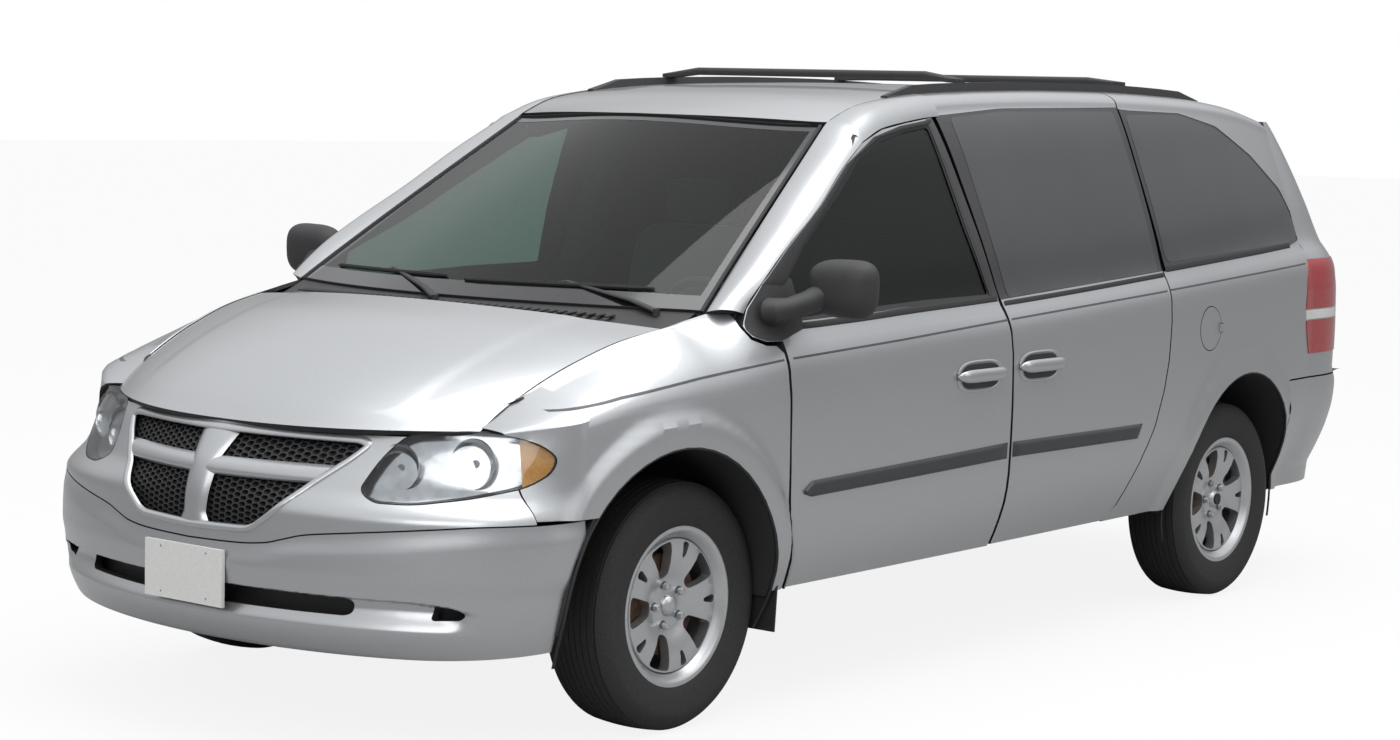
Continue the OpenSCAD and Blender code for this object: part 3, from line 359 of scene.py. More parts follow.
def skin(name, columns, rows, shape, materials=()):
    """A grid laid over a surface: shape(u, v) gives millimetres (s, y, z) for u across and v up, 0 to 1."""
    deselect()
    bpy.ops.mesh.primitive_grid_add(x_subdivisions=columns, y_subdivisions=rows, size=2.0)
    piece = bpy.context.object
    piece.name = name
    u, v = (points_of(piece)[:, :2].T + 1) / 2
    move_points(piece, place(*shape(u, v)))
    piece.data.update()
    for material in materials:
        piece.data.materials.append(material)
    return piece


def thicken(piece, depth):
    """A wall of that many millimetres on the inside of a sheet; its back and rim take the last finish, so
    that on painted panels the edges in the gaps and the backs are black as painted shade.
    """
    last = len(piece.data.materials) - 1
    apply_modifier(piece, "SOLIDIFY", thickness=depth / 1000, offset=-1.0, use_even_offset=False,
                   material_offset_rim=last, material_offset=last)


def prism(points, axis, near, far):
    """A straight cutter from an outline: axis Y takes (s, z), X takes (y, z) and Z takes (s, y)."""
    deselect()
    bpy.ops.mesh.primitive_circle_add(vertices=len(points), fill_type="NGON")
    cutter = bpy.context.object
    p, q = np.array(points, float).T
    flat = {"Y": (p, near, q), "X": (near, p, q), "Z": (p, q, near)}[axis]
    move_points(cutter, place(*flat))
    way = np.array({"Y": (0, 1, 0), "X": (1, 0, 0), "Z": (0, 0, 1)}[axis])
    step = Vector(place(*((far - near) * way)) - place(0, 0, 0))
    return edit_all(cutter, (bpy.ops.mesh.extrude_region_move, {"TRANSFORM_OT_translate": {"value": step}}),
                    (bpy.ops.mesh.select_all, {"action": "SELECT"}), FACE_OUT)


def rounded(points, radius, steps=5):
    """An outline with its corners turned into arcs."""
    made = []
    count = len(points)
    for i in range(count):
        a, b, c = (np.array(points[(i + k) % count], float) for k in (-1, 0, 1))
        before, after = np.linalg.norm(b - a), np.linalg.norm(c - b)
        r = min(radius, before / 2, after / 2)
        start, end = b + (a - b) / before * r, b + (c - b) / after * r
        for t in np.linspace(0, 1, steps):
            made.append(tuple((1 - t) ** 2 * start + 2 * t * (1 - t) * b + t * t * end))
    return made


def along(path, u):
    """Coordinates at the fraction u of the way along a line of points."""
    path = np.array(path, float)
    return [np.interp(u * (len(path) - 1), np.arange(len(path)), path[:, k]) for k in range(path.shape[1])]


def around(loop, u):
    """Coordinates at the fraction u of the way round a closed outline."""
    return along(np.vstack((loop, loop[:1])), u)


def cut(piece, cutter, way="DIFFERENCE"):
    for material in piece.data.materials:
        cutter.data.materials.append(material)
    # The faces made by the cut take the piece's last finish; on painted panels that is black, painted shade
    # along the cut edges of gaps, arches and openings.
    for face in cutter.data.polygons:
        face.material_index = len(piece.data.materials) - 1
    apply_modifier(piece, "BOOLEAN", operation=way, solver="EXACT", object=cutter)
    bpy.data.objects.remove(cutter, do_unlink=True)


def both_sides(piece):
    """The same again on the other side of the vehicle, in one mesh."""
    apply_modifier(piece, "MIRROR", use_axis=(False, True, False), use_mirror_merge=False)


def copy_of(piece, name):
    use(piece)
    bpy.ops.object.duplicate()
    copy = bpy.context.object
    copy.name = copy.data.name = name
    return copy


def other_side(piece, name):
    """A mirrored copy with its own mesh."""
    return edit_all(copy_of(piece, name), SWAP_SIDES, FLIP)


def shade(piece, angle=30):
    use(piece)
    bpy.ops.object.shade_smooth_by_angle(angle=radians(angle))
    return piece


def fit(piece, body, materials=(), nodes=(), angle=30):
    """Gives a finished piece its materials, shading and body, and the CAD nodes it stands for."""
    for material in materials:
        piece.data.materials.append(material)
    shade(piece, angle)
    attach(piece, body)
    if nodes:
        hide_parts(*nodes)
    return piece


def metal_paint():
    """Silver metallic: aluminium flakes in fine noise under a clear coat."""
    material, nodes, links = nodes_of("silver paint")
    shader = nodes["Principled BSDF"]
    place_in = nodes.new("ShaderNodeTexCoord")
    turn = nodes.new("ShaderNodeMapping")
    flake = nodes.new("ShaderNodeTexNoise")
    flake.inputs["Scale"].default_value = 900.0
    flake.inputs["Detail"].default_value = 2.0
    tones = two_tones(nodes, (0.42, 0.432, 0.445), (0.53, 0.542, 0.557), 0.3, 0.7)
    links.new(place_in.outputs["Object"], turn.inputs[0])
    links.new(turn.outputs[0], flake.inputs["Vector"])
    links.new(flake.outputs["Fac"], tones.inputs[0])
    links.new(tones.outputs[0], shader.inputs["Base Color"])
    shader.inputs["Metallic"].default_value = 0.8
    shader.inputs["Roughness"].default_value = 0.34
    shader.inputs["Coat Weight"].default_value = 0.8
    shader.inputs["Coat Roughness"].default_value = 0.04
    return material


paint = metal_paint()
# Black rubber for the seals and strips; the same black lines the rims and backs of the painted panels as
# painted shade in the gaps between them.
black_rubber_and_gap_shade = speckled("black rubber and painted gap shade", (0.010, 0.010, 0.011), (0.022, 0.022, 0.024), 300.0, 0.65, 0.15)
black_gloss = speckled("black gloss trim", (0.008, 0.008, 0.009), (0.014, 0.014, 0.016), 80.0, 0.16, 0.02,
                       coat=0.6)
black_plastic = speckled("black grained plastic", (0.018, 0.018, 0.019), (0.040, 0.040, 0.042), 500.0, 0.55,
                         0.5)


def arch(shape, grow=0.0, count=48):
    angle = np.linspace(0, 2 * pi, count, endpoint=False)
    return [(shape[0] + (shape[2] + grow) * cos(a), shape[1] + (shape[3] + grow) * sin(a)) for a in angle]


def join(pieces):
    use(pieces[0])
    for piece in pieces[1:]:
        piece.select_set(True)
    bpy.ops.object.join()
    return pieces[0]


def full_side(name, s0, s1, columns, materials, low=352.0):
    """Side from the sill to the roof's ditch, in one sheet; rows follow the crease and the shoulder."""
    total = 46
    marks = np.array([0, 14, 19, 38, 46]) / total

    def shape(u, v):
        s = mix(s0, s1, u)
        zc, zs, zt = curve(CREASE_Z, s), curve(SHOULDER_Z, s), side_top(s)
        z = np.where(v <= marks[1], mix(low, zc, v / marks[1]),
                     np.where(v <= marks[2], mix(zc, zs, (v - marks[1]) / (marks[2] - marks[1])),
                              mix(zs, zt, np.clip((v - marks[2]) / (marks[3] - marks[2]), 0, 1))))
        y = side_y(s, z)
        turn = np.clip((v - marks[3]) / (marks[4] - marks[3]), 0, 1) * pi / 2
        z = z + (roof_z(s, 618) - zt) * np.sin(turn)
        y = y - (y - 619) * (1 - np.cos(turn)) * (turn > 0)
        return s, y, z
    return skin(name, columns, total, shape, materials)


AHEAD_OF_QUARTER = [(2186, 100), (2187, 364), (2244, 402), (2279, 486), (2318, 568), (2379, 664), (2426, 780),
                    (2451, 880), (2463, 1010), (2485, 1250), (2497, 1480), (2505, 1900), (1800, 1900),
                    (1800, 100)]
REAR_WINDOW = [(2440, 1168), (2440, 1712), (2560, 1704), (2900, 1698), (3142, 1655), (3350, 1553),
               (3515, 1430), (3590, 1290), (3560, 1246), (3425, 1222)]
GATE_GAP = [(0, 748), (708, 748), (711, 900), (705, 1160), (673, 1400), (645, 1560), (617, 1666), (560, 1726),
            (0, 1736)]


def mirrored_outline(points):
    return points + [(-p, q) for p, q in reversed(points) if p != 0]


def quarter_corner(u, v):
    return tail(90 - u * 54, mix(752, 1672, v))


quarter = full_side("quarter_panels", 2100, 3560, 110, (paint, black_rubber_and_gap_shade))
corner = skin("corner", 24, 40, quarter_corner, (paint, black_rubber_and_gap_shade))
for half in (quarter, corner):
    thicken(half, 14)
cut(quarter, prism(AHEAD_OF_QUARTER, "Y", 450, 1150))
cut(quarter, prism(arch(REAR_ARCH), "Y", 700, 1150))
cut(quarter, prism([(3384, 200), (3384, 749), (3396, 752), (3700, 752), (3700, 200)], "Y", 300, 1150))
cut(quarter, prism(rounded(REAR_WINDOW, 20), "Y", 500, 1150))
cut(quarter, prism(arch((2736, 970, 77, 77), 0, 40), "Y", 900, 1100))
cut(corner, prism(mirrored_outline(GATE_GAP), "X", 3520, 4300))
quarter = edit_all(join([quarter, corner]), weld(0.00015))
both_sides(quarter)
fit(quarter, "body", (), ("quarter_panels",))


# ---- fenders ----
# A pressed steel wing over each front wheel, bolted on between nose, hood and door. Its top edge
# folds in to the hood's side and, behind it, fills in the foot of the windscreen pillar.
def hood_front(y):
    return -838 + 252 * (np.abs(y) / 720) ** 2.4, 838 + 11 * (np.abs(y) / 720) ** 2


def hood_rear(y):
    return -125 + 150 * (np.abs(y) / 800) ** 2, 1128 - 38 * (np.abs(y) / 800) ** 2


HOOD_RISE = [[0, 0], [0.1, 0.19], [0.3, 0.47], [0.5, 0.68], [0.75, 0.88], [1, 1]]


def hood_at(a, t):
    y = a * mix(712, 796, t)
    (s0, z0), (s1, z1) = hood_front(y), hood_rear(y)
    return mix(s0, s1, t), y, mix(z0, z1, curve(HOOD_RISE, t))


hood_edge = np.array([hood_at(1.0, t) for t in np.linspace(0, 1, 41)] + [(110, 800, 1108), (200, 806, 1124),
                                                                        (250, 850, 1124), (300, 872, 1112)])


def fender_shape(u, v):
    s = mix(-587, 400, u)
    zc, zs = curve(CREASE_Z, s), curve(SHOULDER_Z, s)
    zc = np.minimum(zc, zs - 4)
    marks = np.array([0, 26, 32, 40]) / 40
    flank = np.clip((v - marks[1]) / (marks[2] - marks[1]), 0, 1)
    z = np.where(v <= marks[1], mix(354, zc, v / marks[1]), mix(zc, zs, flank))
    y = side_y(s, z)
    fold = np.clip((v - marks[2]) / (marks[3] - marks[2]), 0, 1)
    y_in = np.interp(s, hood_edge[:, 0], hood_edge[:, 1]) + 3.5
    z_in = np.interp(s, hood_edge[:, 0], hood_edge[:, 2])
    y_in = np.minimum(y_in, y - 1)
    return s, mix(y, y_in, fold), z + (z_in - z) * fold + 3 * np.sin(pi * fold)


def lamp_prism(points, near, far):
    """Cutter seen along the front corner: (w, z) with w the distance across that view."""
    cutter = prism(points, "Y", 0, 100)
    at = points_of(cutter)
    w, z, q = 1.5765 - at[:, 0], at[:, 2], mix(near, far, at[:, 1] / 0.1) / 1000
    s, y = (w - q) / 2 ** 0.5, (w + q) / 2 ** 0.5
    move_points(cutter, np.stack((1.5765 - s, y, z), 1))
    return edit_all(cutter, FACE_OUT)


LAMP = [(-226, 694), (-165, 778), (-96, 838), (60, 850), (150, 846), (235, 826), (280, 792),
        (262, 752), (200, 716), (60, 688), (-90, 668), (-190, 668)]


def grown(points, by):
    """The lamp's outline moved outwards by that many millimetres."""
    away = np.array(points) - (20.0, 760.0)
    return [tuple(p) for p in points + by * away / np.linalg.norm(away, axis=1)[:, None]]


fenders = skin("fenders", 80, 40, fender_shape, (paint, black_rubber_and_gap_shade))
thicken(fenders, 12)
cut(fenders, prism(arch(FRONT_ARCH), "Y", 700, 1150))
cut(fenders, prism([(-700, 200), (-400, 200), (-400, 636), (-700, 636)], "Y", 500, 1150))
cut(fenders, prism([(376, 200), (500, 200), (500, 1300), (250, 1300), (248, 1092), (260, 1056), (306, 1038),
                    (340, 1037), (360, 1016), (364, 760)], "Y", 700, 1150))
cut(fenders, lamp_prism(rounded(grown(LAMP, 2.5), 40), 500, 1300))
both_sides(fenders)
fit(fenders, "body", (), ("fenders",))

# ---- windscreen pillars and the bands over the front doors ----
# The painted outer skin of the body frame beside the windscreen and along the top of each front
# door. It lies on the welded frame, a few millimetres proud of it.
DOOR_FRONT = [[1040, 300], [1092, 258], [1140, 285], [1208, 357], [1302, 503], [1392, 666], [1528, 875],
              [1592, 993]]
DOOR_TOP = [[993, 1592], [1117, 1632], [1250, 1652], [1398, 1668], [1440, 1670]]


def ws(a, b):
    return (mix(-30 + 230 * a * a, 850 + 140 * a * a, b), a * mix(805, 612, b),
            mix(1132 - 6 * a * a, 1662 - 46 * a * a, b) + 60 * b * (1 - b) + 28 * a ** 4 * b * b * b)


def pillar_shape(u, v):
    lower = u < 0.6
    b = np.clip(u / 0.6, 0, 1)
    k = np.clip((u - 0.6) / 0.4, 0, 1)
    s_top = mix(994, 1438, k)
    ps, py, pz = ws(1.0, b)
    p = np.stack((np.where(lower, ps, s_top), np.where(lower, py + 4, 618),
                  np.where(lower, pz + 3, roof_z(s_top, 616) + 2)))
    qz = np.where(lower, np.minimum(pz, 1592 - 20 * (1 - b)), curve(DOOR_TOP, s_top) + 4)
    qs = np.where(lower, curve(DOOR_FRONT, qz) - 6, s_top)
    q = np.stack((qs, side_y(qs, qz) + 4, qz))
    m = (p + q) / 2 + np.stack((np.where(lower, -36 * (1 - b * b), 0), 32 + 0 * b,
                                np.where(lower, mix(20, 34, b * b), 34)))
    at = (1 - v) ** 2 * p + 2 * v * (1 - v) * m + v * v * q
    return at[0], at[1], at[2]


pillars = skin("windscreen_pillars", 90, 12, pillar_shape, (paint, black_rubber_and_gap_shade))
edit_all(pillars, FLIP)
thicken(pillars, 6)
both_sides(pillars)
fit(pillars, "body")

# ---- roof panel ----
# One steel pressing from windscreen to liftgate, spot welded along a ditch on each side.


def roof_shape(u, v):
    a = np.sin(mix(-90, 90, u) * pi / 180)
    y = a * 616
    s = mix(850.5 + 140 * a * a + 9 * a ** 8, 3590, v)
    return s, y, roof_z(s, y)


roof = skin("roof_panel", 48, 90, roof_shape, (paint, black_rubber_and_gap_shade))
thicken(roof, 12)
fit(roof, "body", (), ("roof_panel",))


def tube(name, points, width, height, lift=0.0, sides=8, materials=()):
    """A strip of half-round section along points in millimetres, standing up from them."""
    def shape(u, v):
        s, y, z = along(points, u)
        a = v * pi
        return s, y + width / 2 * np.cos(a), z + lift + height * np.sin(a)
    return skin(name, len(points) - 1, sides, shape, materials)


ditch = tube("roof_ditches", [(s, 617.5, float(roof_z(s, 617))) for s in np.linspace(1010, 3570, 60)], 11,
             3.0,
             -0.5, 6, (black_rubber_and_gap_shade,))
both_sides(ditch)
fit(ditch, "body")

# ---- front fascia ----
# The painted moulding between headlamps, hood and bumper, with the opening for the grille.
SEAM = [[0, 534], [11, 538], [16.5, 546], [20, 560], [24, 576], [31, 589], [40, 602], [50, 614],
        [60, 623], [77, 628], [90, 632]]
FASCIA_TOP = [[0, 834], [20, 830], [40, 828], [60, 842], [90, 850]]
GRILLE_HALF = [(0, 566), (215, 572), (285, 622), (350, 690), (440, 770), (470, 806), (440, 818), (0, 822)]


def nose_band(name, a0, a1, low, high, columns, rows, inset=0.0, materials=()):
    def shape(u, v):
        a = mix(a0, a1, u)
        z = mix(low(a) if callable(low) else low + 0 * a, high(a) if callable(high) else high + 0 * a, v)
        return nose(a, z, inset)
    return skin(name, columns, rows, shape, materials)


fascia = nose_band("front_fascia", -90, 90, lambda a: curve(SEAM, np.abs(a)) + 2,
                   lambda a: curve(FASCIA_TOP, np.abs(a)), 150, 26, 0, (paint, black_rubber_and_gap_shade))
thicken(fascia, 16)
cut(fascia, prism(rounded(mirrored_outline(GRILLE_HALF), 30), "X", -1200, -600))
for side in (1, -1):
    cutter = lamp_prism(rounded(grown(LAMP, 3), 40), 500, 1300)
    if side < 0:
        edit_all(cutter, SWAP_SIDES, FLIP)
    cut(fascia, cutter)
cut(fascia, prism([(-590, 400), (-300, 400), (-300, 1000), (-590, 1000)], "Y", -1200, 1200))
fit(fascia, "body", (), ("front_fascia",))

# ---- grille ----
# A black honeycomb moulding set back in the opening, with a body-coloured cross in front of it.
# The cross and the surround are one painted plastic part clipped to the fascia.
CELL = (29.0, 15.0)
rings, faces = [], []
hexagon = [(cos(radians(60 * k)), sin(radians(60 * k))) for k in range(6)]
for row in range(-10, 11):
    for column in range(-24, 25):
        y, z = column * CELL[0] * 0.78, 700 + (row + (column % 2) / 2) * CELL[1]
        reach = np.interp(z, [575, 622, 690, 770, 812], [222, 290, 356, 446, 462])
        if not 574 < z < 814 or abs(y) > reach:
            continue
        start = len(rings)
        for grow, deep in ((1.0, 0.0), (0.80, 0.0), (0.74, 14.0)):
            rings += [(y + across * CELL[0] / 2 * grow * 1.04, z + up * CELL[1] / 1.732 * grow, deep)
                      for across, up in hexagon]
        for k in range(6):
            n = (k + 1) % 6
            faces += [(start + k, start + n, start + 6 + n, start + 6 + k),
                      (start + 6 + k, start + 6 + n, start + 12 + n, start + 12 + k)]
rings = np.array(rings)
mesh = bpy.data.meshes.new("grille_mesh")
reach = (curve(NOSE_HALF, rings[:, 1]) - 26)
e = nose_power(rings[:, 1])
turn = np.arcsin(np.clip((np.abs(rings[:, 0]) / reach) ** (1 / e), 0, 1))
at = place(-450 - (curve(NOSE, rings[:, 1]) - 476) * np.cos(turn) ** e + rings[:, 2], rings[:, 0],
           rings[:, 1])
mesh.from_pydata([tuple(p) for p in at], [], faces)
mesh.update()
honeycomb = bpy.data.objects.new("grille_mesh", mesh)
scene.collection.objects.link(honeycomb)
fit(honeycomb, "body", (black_plastic,))

backing = nose_band("grille_backing", -46, 46, 560, 818, 40, 10, 44, (black_rubber_and_gap_shade,))
thicken(backing, 3)
cut(backing, prism(rounded(mirrored_outline(GRILLE_HALF), 30), "X", -1200, -600), "INTERSECT")
fit(backing, "body", (), ("grille",))


def on_nose(y, z, inset):
    """Point of the nose at a given distance from the centre line."""
    e = nose_power(z)
    turn = np.arcsin(np.clip((np.abs(y) / (curve(NOSE_HALF, z) - inset)) ** (1 / e), 0, 1))
    return -450 - (curve(NOSE, z) - 450 - inset) * np.cos(turn) ** e, y, z


def bar_upright(u, v):
    z = mix(566, 822, v)
    half = np.interp(z, [566, 600, 745, 824], [62, 42, 52, 76])
    w = mix(-1, 1, u)
    return on_nose(w * half, z, 16 * np.abs(w) ** 3 - 2)


def bar_level(u, v):
    w = mix(-1, 1, v)
    z = 724 + 24 * w
    y = mix(-1, 1, u) * np.interp(z, [622, 690, 770], [285, 350, 440])
    return on_nose(y, z, 16 * np.abs(w) ** 3)


def surround_shape(u, v):
    """A half-round rim that follows the opening's edge."""
    loop = np.array(rounded(mirrored_outline(GRILLE_HALF), 30, 6))
    y, z = around(loop, u)
    ty, tz = around(np.roll(loop, -1, 0) - np.roll(loop, 1, 0), u)
    size = np.hypot(ty, tz) + 1e-6
    turn = v * pi
    out = -2 + 11 * np.cos(turn)
    return on_nose(y + out * tz / size, np.minimum(z - out * ty / size, 834), 6 - 12 * np.sin(turn))


surround = skin("grille_surround", 260, 8, surround_shape, (paint,))
fit(surround, "body")


upright = skin("grille_upright", 14, 24, bar_upright, (paint, black_rubber_and_gap_shade))
level_bar = skin("grille_crossbar", 60, 10, bar_level, (paint, black_rubber_and_gap_shade))
for bar in (upright, level_bar):
    thicken(bar, 14)
    fit(bar, "body")

# ---- front bumper ----
# A painted plastic cover with a wide central intake, a scoop on each side of it and a slot by each
# wheel. Black mouldings close the openings behind.
LOW = [[0, 268], [45, 270], [90, 296]]


def intake(points, deep):
    return prism(rounded(points, 14), "X", -1200, deep)


def bumper_shape(u, v):
    """The nose below the seam, with a channel let into it that holds the intakes."""
    a = mix(-90, 90, u)
    z = mix(curve(LOW, np.abs(a)), curve(SEAM, np.abs(a)) - 2, v)
    roof = curve([[0, 430], [44, 428], [52, 420], [60, 398]], np.abs(a))
    deep = 34 * smooth((roof - z) / 11) * smooth((z - 344) / 62) ** 0.8 * (1 - smooth((np.abs(a) - 53) / 8))
    swell = 7 * smooth((z - 430) / 60) * smooth((curve(SEAM, np.abs(a)) - z) / 60)
    return nose(a, z, deep - swell)


bumper = skin("front_bumper", 180, 96, bumper_shape, (paint, black_rubber_and_gap_shade))
thicken(bumper, 20)
CENTRE = [(0, 374), (495, 376), (512, 384), (512, 410), (498, 419), (0, 421)]
SLOT = [(700, 376), (770, 380), (786, 396), (770, 414), (704, 416)]
cut(bumper, intake(mirrored_outline(CENTRE), -500))
cut(bumper, intake(SLOT, -450))
cut(bumper, intake([(-y, z) for y, z in reversed(SLOT)], -450))
for side in (1, -1):
    cut(bumper, prism(arch(FRONT_ARCH, 1), "Y", 500 * side, 1150 * side))
    cut(bumper, prism([(-517, 200), (-300, 200), (-300, 352), (-520, 352)], "Y", 500 * side, 1150 * side))
fit(bumper, "body", (), ("front_bumper",))
behind = nose_band("bumper_openings", -66, 66, 345, 440, 60, 6, 75, (black_plastic,))
thicken(behind, 3)
fit(behind, "body")

# ---- front plate ----
# A blank pale plate on a flat holder, held by two screws; the whole node takes the pale plate finish.
white_plate = speckled("blank plate", (0.70, 0.70, 0.68), (0.76, 0.76, 0.74), 120.0, 0.45, 0.05)
finish_node("front_plate", white_plate)


# ---- rear bumper ----
# A painted plastic cover in one piece round the tail, with a flat step on top.
def tail_band(name, low, high, columns, rows, inset=0.0, materials=()):
    def shape(u, v):
        z = mix(low, high, v)
        run = np.clip(u / 0.12, 0, 1)
        far = np.clip((1 - u) / 0.12, 0, 1)
        a = 90 - 180 * np.clip((u - 0.12) / 0.76, 0, 1)
        s, y, z2 = tail(a, z, inset)
        flank = (u < 0.12) | (u > 0.88)
        s_side = mix(3384, 3560, np.minimum(run, far))
        y_side = (side_y(s_side, z) - inset) * np.where(u < 0.5, 1, -1)
        return np.where(flank, s_side, s), np.where(flank, y_side, y), z
    return skin(name, columns, rows, shape, materials)


rear_cover = tail_band("rear_bumper", 338, 746, 150, 30, 0, (paint, black_rubber_and_gap_shade))
thicken(rear_cover, 22)
for side in (1, -1):
    cut(rear_cover, prism(arch(REAR_ARCH, 2), "Y", 600 * side, 1150 * side))
    cut(rear_cover, prism([(3000, 200), (3392, 200), (3404, 412), (3380, 500), (3000, 500)], "Y",
                          600 * side, 1150 * side))
fit(rear_cover, "body", (), ("rear_bumper",))


def step_shape(u, v):
    a = mix(66, -66, u)
    s0, y0, z0 = tail(a, 738 + 0 * a, 4)
    return mix(s0, 3990 + 0 * s0, v), y0 * mix(1, 0.97, v), 747 + 3 * np.sin(pi * v)


step = skin("bumper_step", 60, 6, step_shape, (black_plastic,))
edit_all(step, FLIP)
fit(step, "body")

# ---- windscreen ----
# Laminated glass glued on to the body, with a black printed border and a rubber seal round it.


def clear_glass(name, tint, mirror=0.04):
    """Thin sheet glass: what is behind shows through the tint, and the surface reflects at a slant."""
    material, nodes, links = nodes_of(name)
    nodes.remove(nodes["Principled BSDF"])
    place_in = nodes.new("ShaderNodeTexCoord")
    haze = nodes.new("ShaderNodeTexNoise")
    haze.inputs["Scale"].default_value = 6.0
    tones = two_tones(nodes, [c * 0.96 for c in tint], tint)
    through = nodes.new("ShaderNodeBsdfTransparent")
    gloss = nodes.new("ShaderNodeBsdfGlossy")
    gloss.inputs["Roughness"].default_value = 0.02
    slant = nodes.new("ShaderNodeLayerWeight")
    slant.inputs["Blend"].default_value = 0.5
    steep = nodes.new("ShaderNodeMath")
    steep.operation = "POWER"
    steep.inputs[1].default_value = 5.0
    shine = nodes.new("ShaderNodeMath")
    shine.operation = "MULTIPLY_ADD"
    shine.inputs[1].default_value = 1.0 - mirror
    shine.inputs[2].default_value = mirror
    both = nodes.new("ShaderNodeMixShader")
    links.new(place_in.outputs["Object"], haze.inputs["Vector"])
    links.new(haze.outputs["Fac"], tones.inputs[0])
    links.new(tones.outputs[0], through.inputs["Color"])
    links.new(slant.outputs["Facing"], steep.inputs[0])
    links.new(steep.outputs[0], shine.inputs[0])
    links.new(shine.outputs[0], both.inputs[0])
    links.new(through.outputs[0], both.inputs[1])
    links.new(gloss.outputs[0], both.inputs[2])
    links.new(both.outputs[0], nodes["Material Output"].inputs["Surface"])
    return material


screen_glass = clear_glass("green tinted glass", (0.42, 0.60, 0.54))
privacy_glass = speckled("dark privacy glass", (0.012, 0.014, 0.016), (0.018, 0.021, 0.024), 4.0, 0.05, 0.0,
                         coat=1.0)


def screen_patch(name, a0, a1, b0, b1, columns, rows, lift, materials):
    def shape(u, v):
        s, y, z = ws(mix(a0, a1, u), mix(b0, b1, v))
        return s - 0.5 * lift, y, z + 0.86 * lift
    return skin(name, columns, rows, shape, materials)


screen = screen_patch("windscreen", -0.985, 0.985, 0.01, 0.985, 60, 30, 0.0, (screen_glass,))
fit(screen, "body", (), ("windshield",))
border = [screen_patch("windscreen_border", *span, 0.6, (black_gloss,)) for span in (
    (-0.985, 0.985, 0.01, 0.075, 60, 4), (-0.985, 0.985, 0.955, 0.985, 60, 3),
    (-0.985, -0.955, 0.07, 0.96, 3, 30), (0.955, 0.985, 0.07, 0.96, 3, 30))]
fit(edit_all(join(border), weld(0.00015)), "body")


def seal_shape(u, v):
    """A rubber cord that runs along the glass's foot, up one side, over the top and down the other."""
    leg = u * 4
    legs = [leg < 1, leg < 2, leg < 3]
    a = np.select(legs, [mix(-1, 1, leg), 1 + 0 * u, mix(1, -1, leg - 2)], -1 + 0 * u)
    b = np.select(legs, [0 * u, leg - 1, 1 + 0 * u], 4 - leg)
    turn = v * 2 * pi
    s, y, z = ws(a * 0.988, mix(0.003, 0.99, b))
    upright = np.abs(a) > 0.99
    return (s - 3 * np.sin(turn) - 2, y + np.where(upright, 6.5 * np.cos(turn), 0),
            z + 5 * np.sin(turn) + np.where(upright, 0, 3 * np.cos(turn)))


seal = skin("windscreen_seal", 160, 8, seal_shape, (black_rubber_and_gap_shade,))
fit(seal, "body")

# ---- cowl and wipers ----
# A black plastic cowl with slots for the air intake, between hood and windscreen. Two wiper arms
# on short posts stand on it.


def cowl_shape(u, v):
    a = mix(-1, 1, u)
    s0, z0 = hood_rear(a * 790)
    s1, y1, z1 = ws(a * 0.97, 0.0)
    low = 10 + 14 * smooth((np.abs(a) - 0.55) / 0.25)
    return mix(s0 + 9, s1, v), mix(a * 786, y1, v), mix(z0 - low, z1 - 1, v) - 5 * np.sin(pi * v)


cowl = skin("cowl", 60, 8, cowl_shape, (black_plastic,))
thicken(cowl, 5)
fit(cowl, "body", (), ("cowl_panel",))
# The intake slots are not cut through: each is a thin box in the darker black, standing just proud of the
# cowl as painted shade for the opening.
slot_shades = []
for k in range(46):
    y = -640 + k * 27.5
    a = y / 790
    deselect()
    bpy.ops.mesh.primitive_cube_add(size=1.0)
    slot = bpy.context.object
    s0, z0 = hood_rear(y)
    s1, y1, z1 = ws(a * 0.97, 0.0)
    c = place(mix(s0 + 9, s1, 0.55), y, mix(z0 - 10, z1 - 1, 0.55) - 3.2)
    slot.location = c
    slot.scale = (0.034, 0.014, 0.003)
    slot.rotation_euler = (0, 0.10, 0)
    slot_shades.append(slot)
slot_shades = join(slot_shades)
slot_shades.name = "cowl_slot_shades"
bpy.ops.object.transform_apply(location=True, rotation=True, scale=True)
fit(slot_shades, "body", (black_rubber_and_gap_shade,))


def round_bar(name, points, radius, body, material, sides=10, flat=1.0):
    """A bar of round or flattened section along points in millimetres, its ends closed."""
    points = np.array(points, float)
    deselect()
    bpy.ops.mesh.primitive_cylinder_add(vertices=sides, radius=1.0, depth=1.0, end_fill_type="NGON")
    bar = bpy.context.object
    bar.name = name
    edit_all(bar, (bpy.ops.mesh.delete, {"type": "VERT"}))
    world = place(*points.T)
    rows, quads = [], []
    count = len(world)
    for i, p in enumerate(world):
        ahead = Vector(world[min(i + 1, count - 1)] - world[max(i - 1, 0)]).normalized()
        across = ahead.cross(Vector((0, 0, 1)))
        across = across.normalized() if across.length > 1e-4 else Vector((0, 1, 0))
        up = across.cross(ahead)
        r = (radius[i] if hasattr(radius, "__len__") else radius) / 1000
        for k in range(sides):
            t = 2 * pi * k / sides
            rows.append(Vector(p) + across * (r * cos(t)) + up * (r * flat * sin(t)))
        if i:
            for k in range(sides):
                n = (k + 1) % sides
                quads.append(((i - 1) * sides + k, (i - 1) * sides + n, i * sides + n, i * sides + k))
    quads.append(tuple(range(sides))[::-1])
    quads.append(tuple(range((count - 1) * sides, count * sides)))
    bar.data.from_pydata([tuple(r) for r in rows], [], quads)
    bar.data.update()
    return fit(edit_all(bar, FACE_OUT), body, (material,))


def on_screen(a, b, lift):
    s, y, z = ws(a, b)
    return np.array((s - 0.5 * lift, y, z + 0.86 * lift), float)


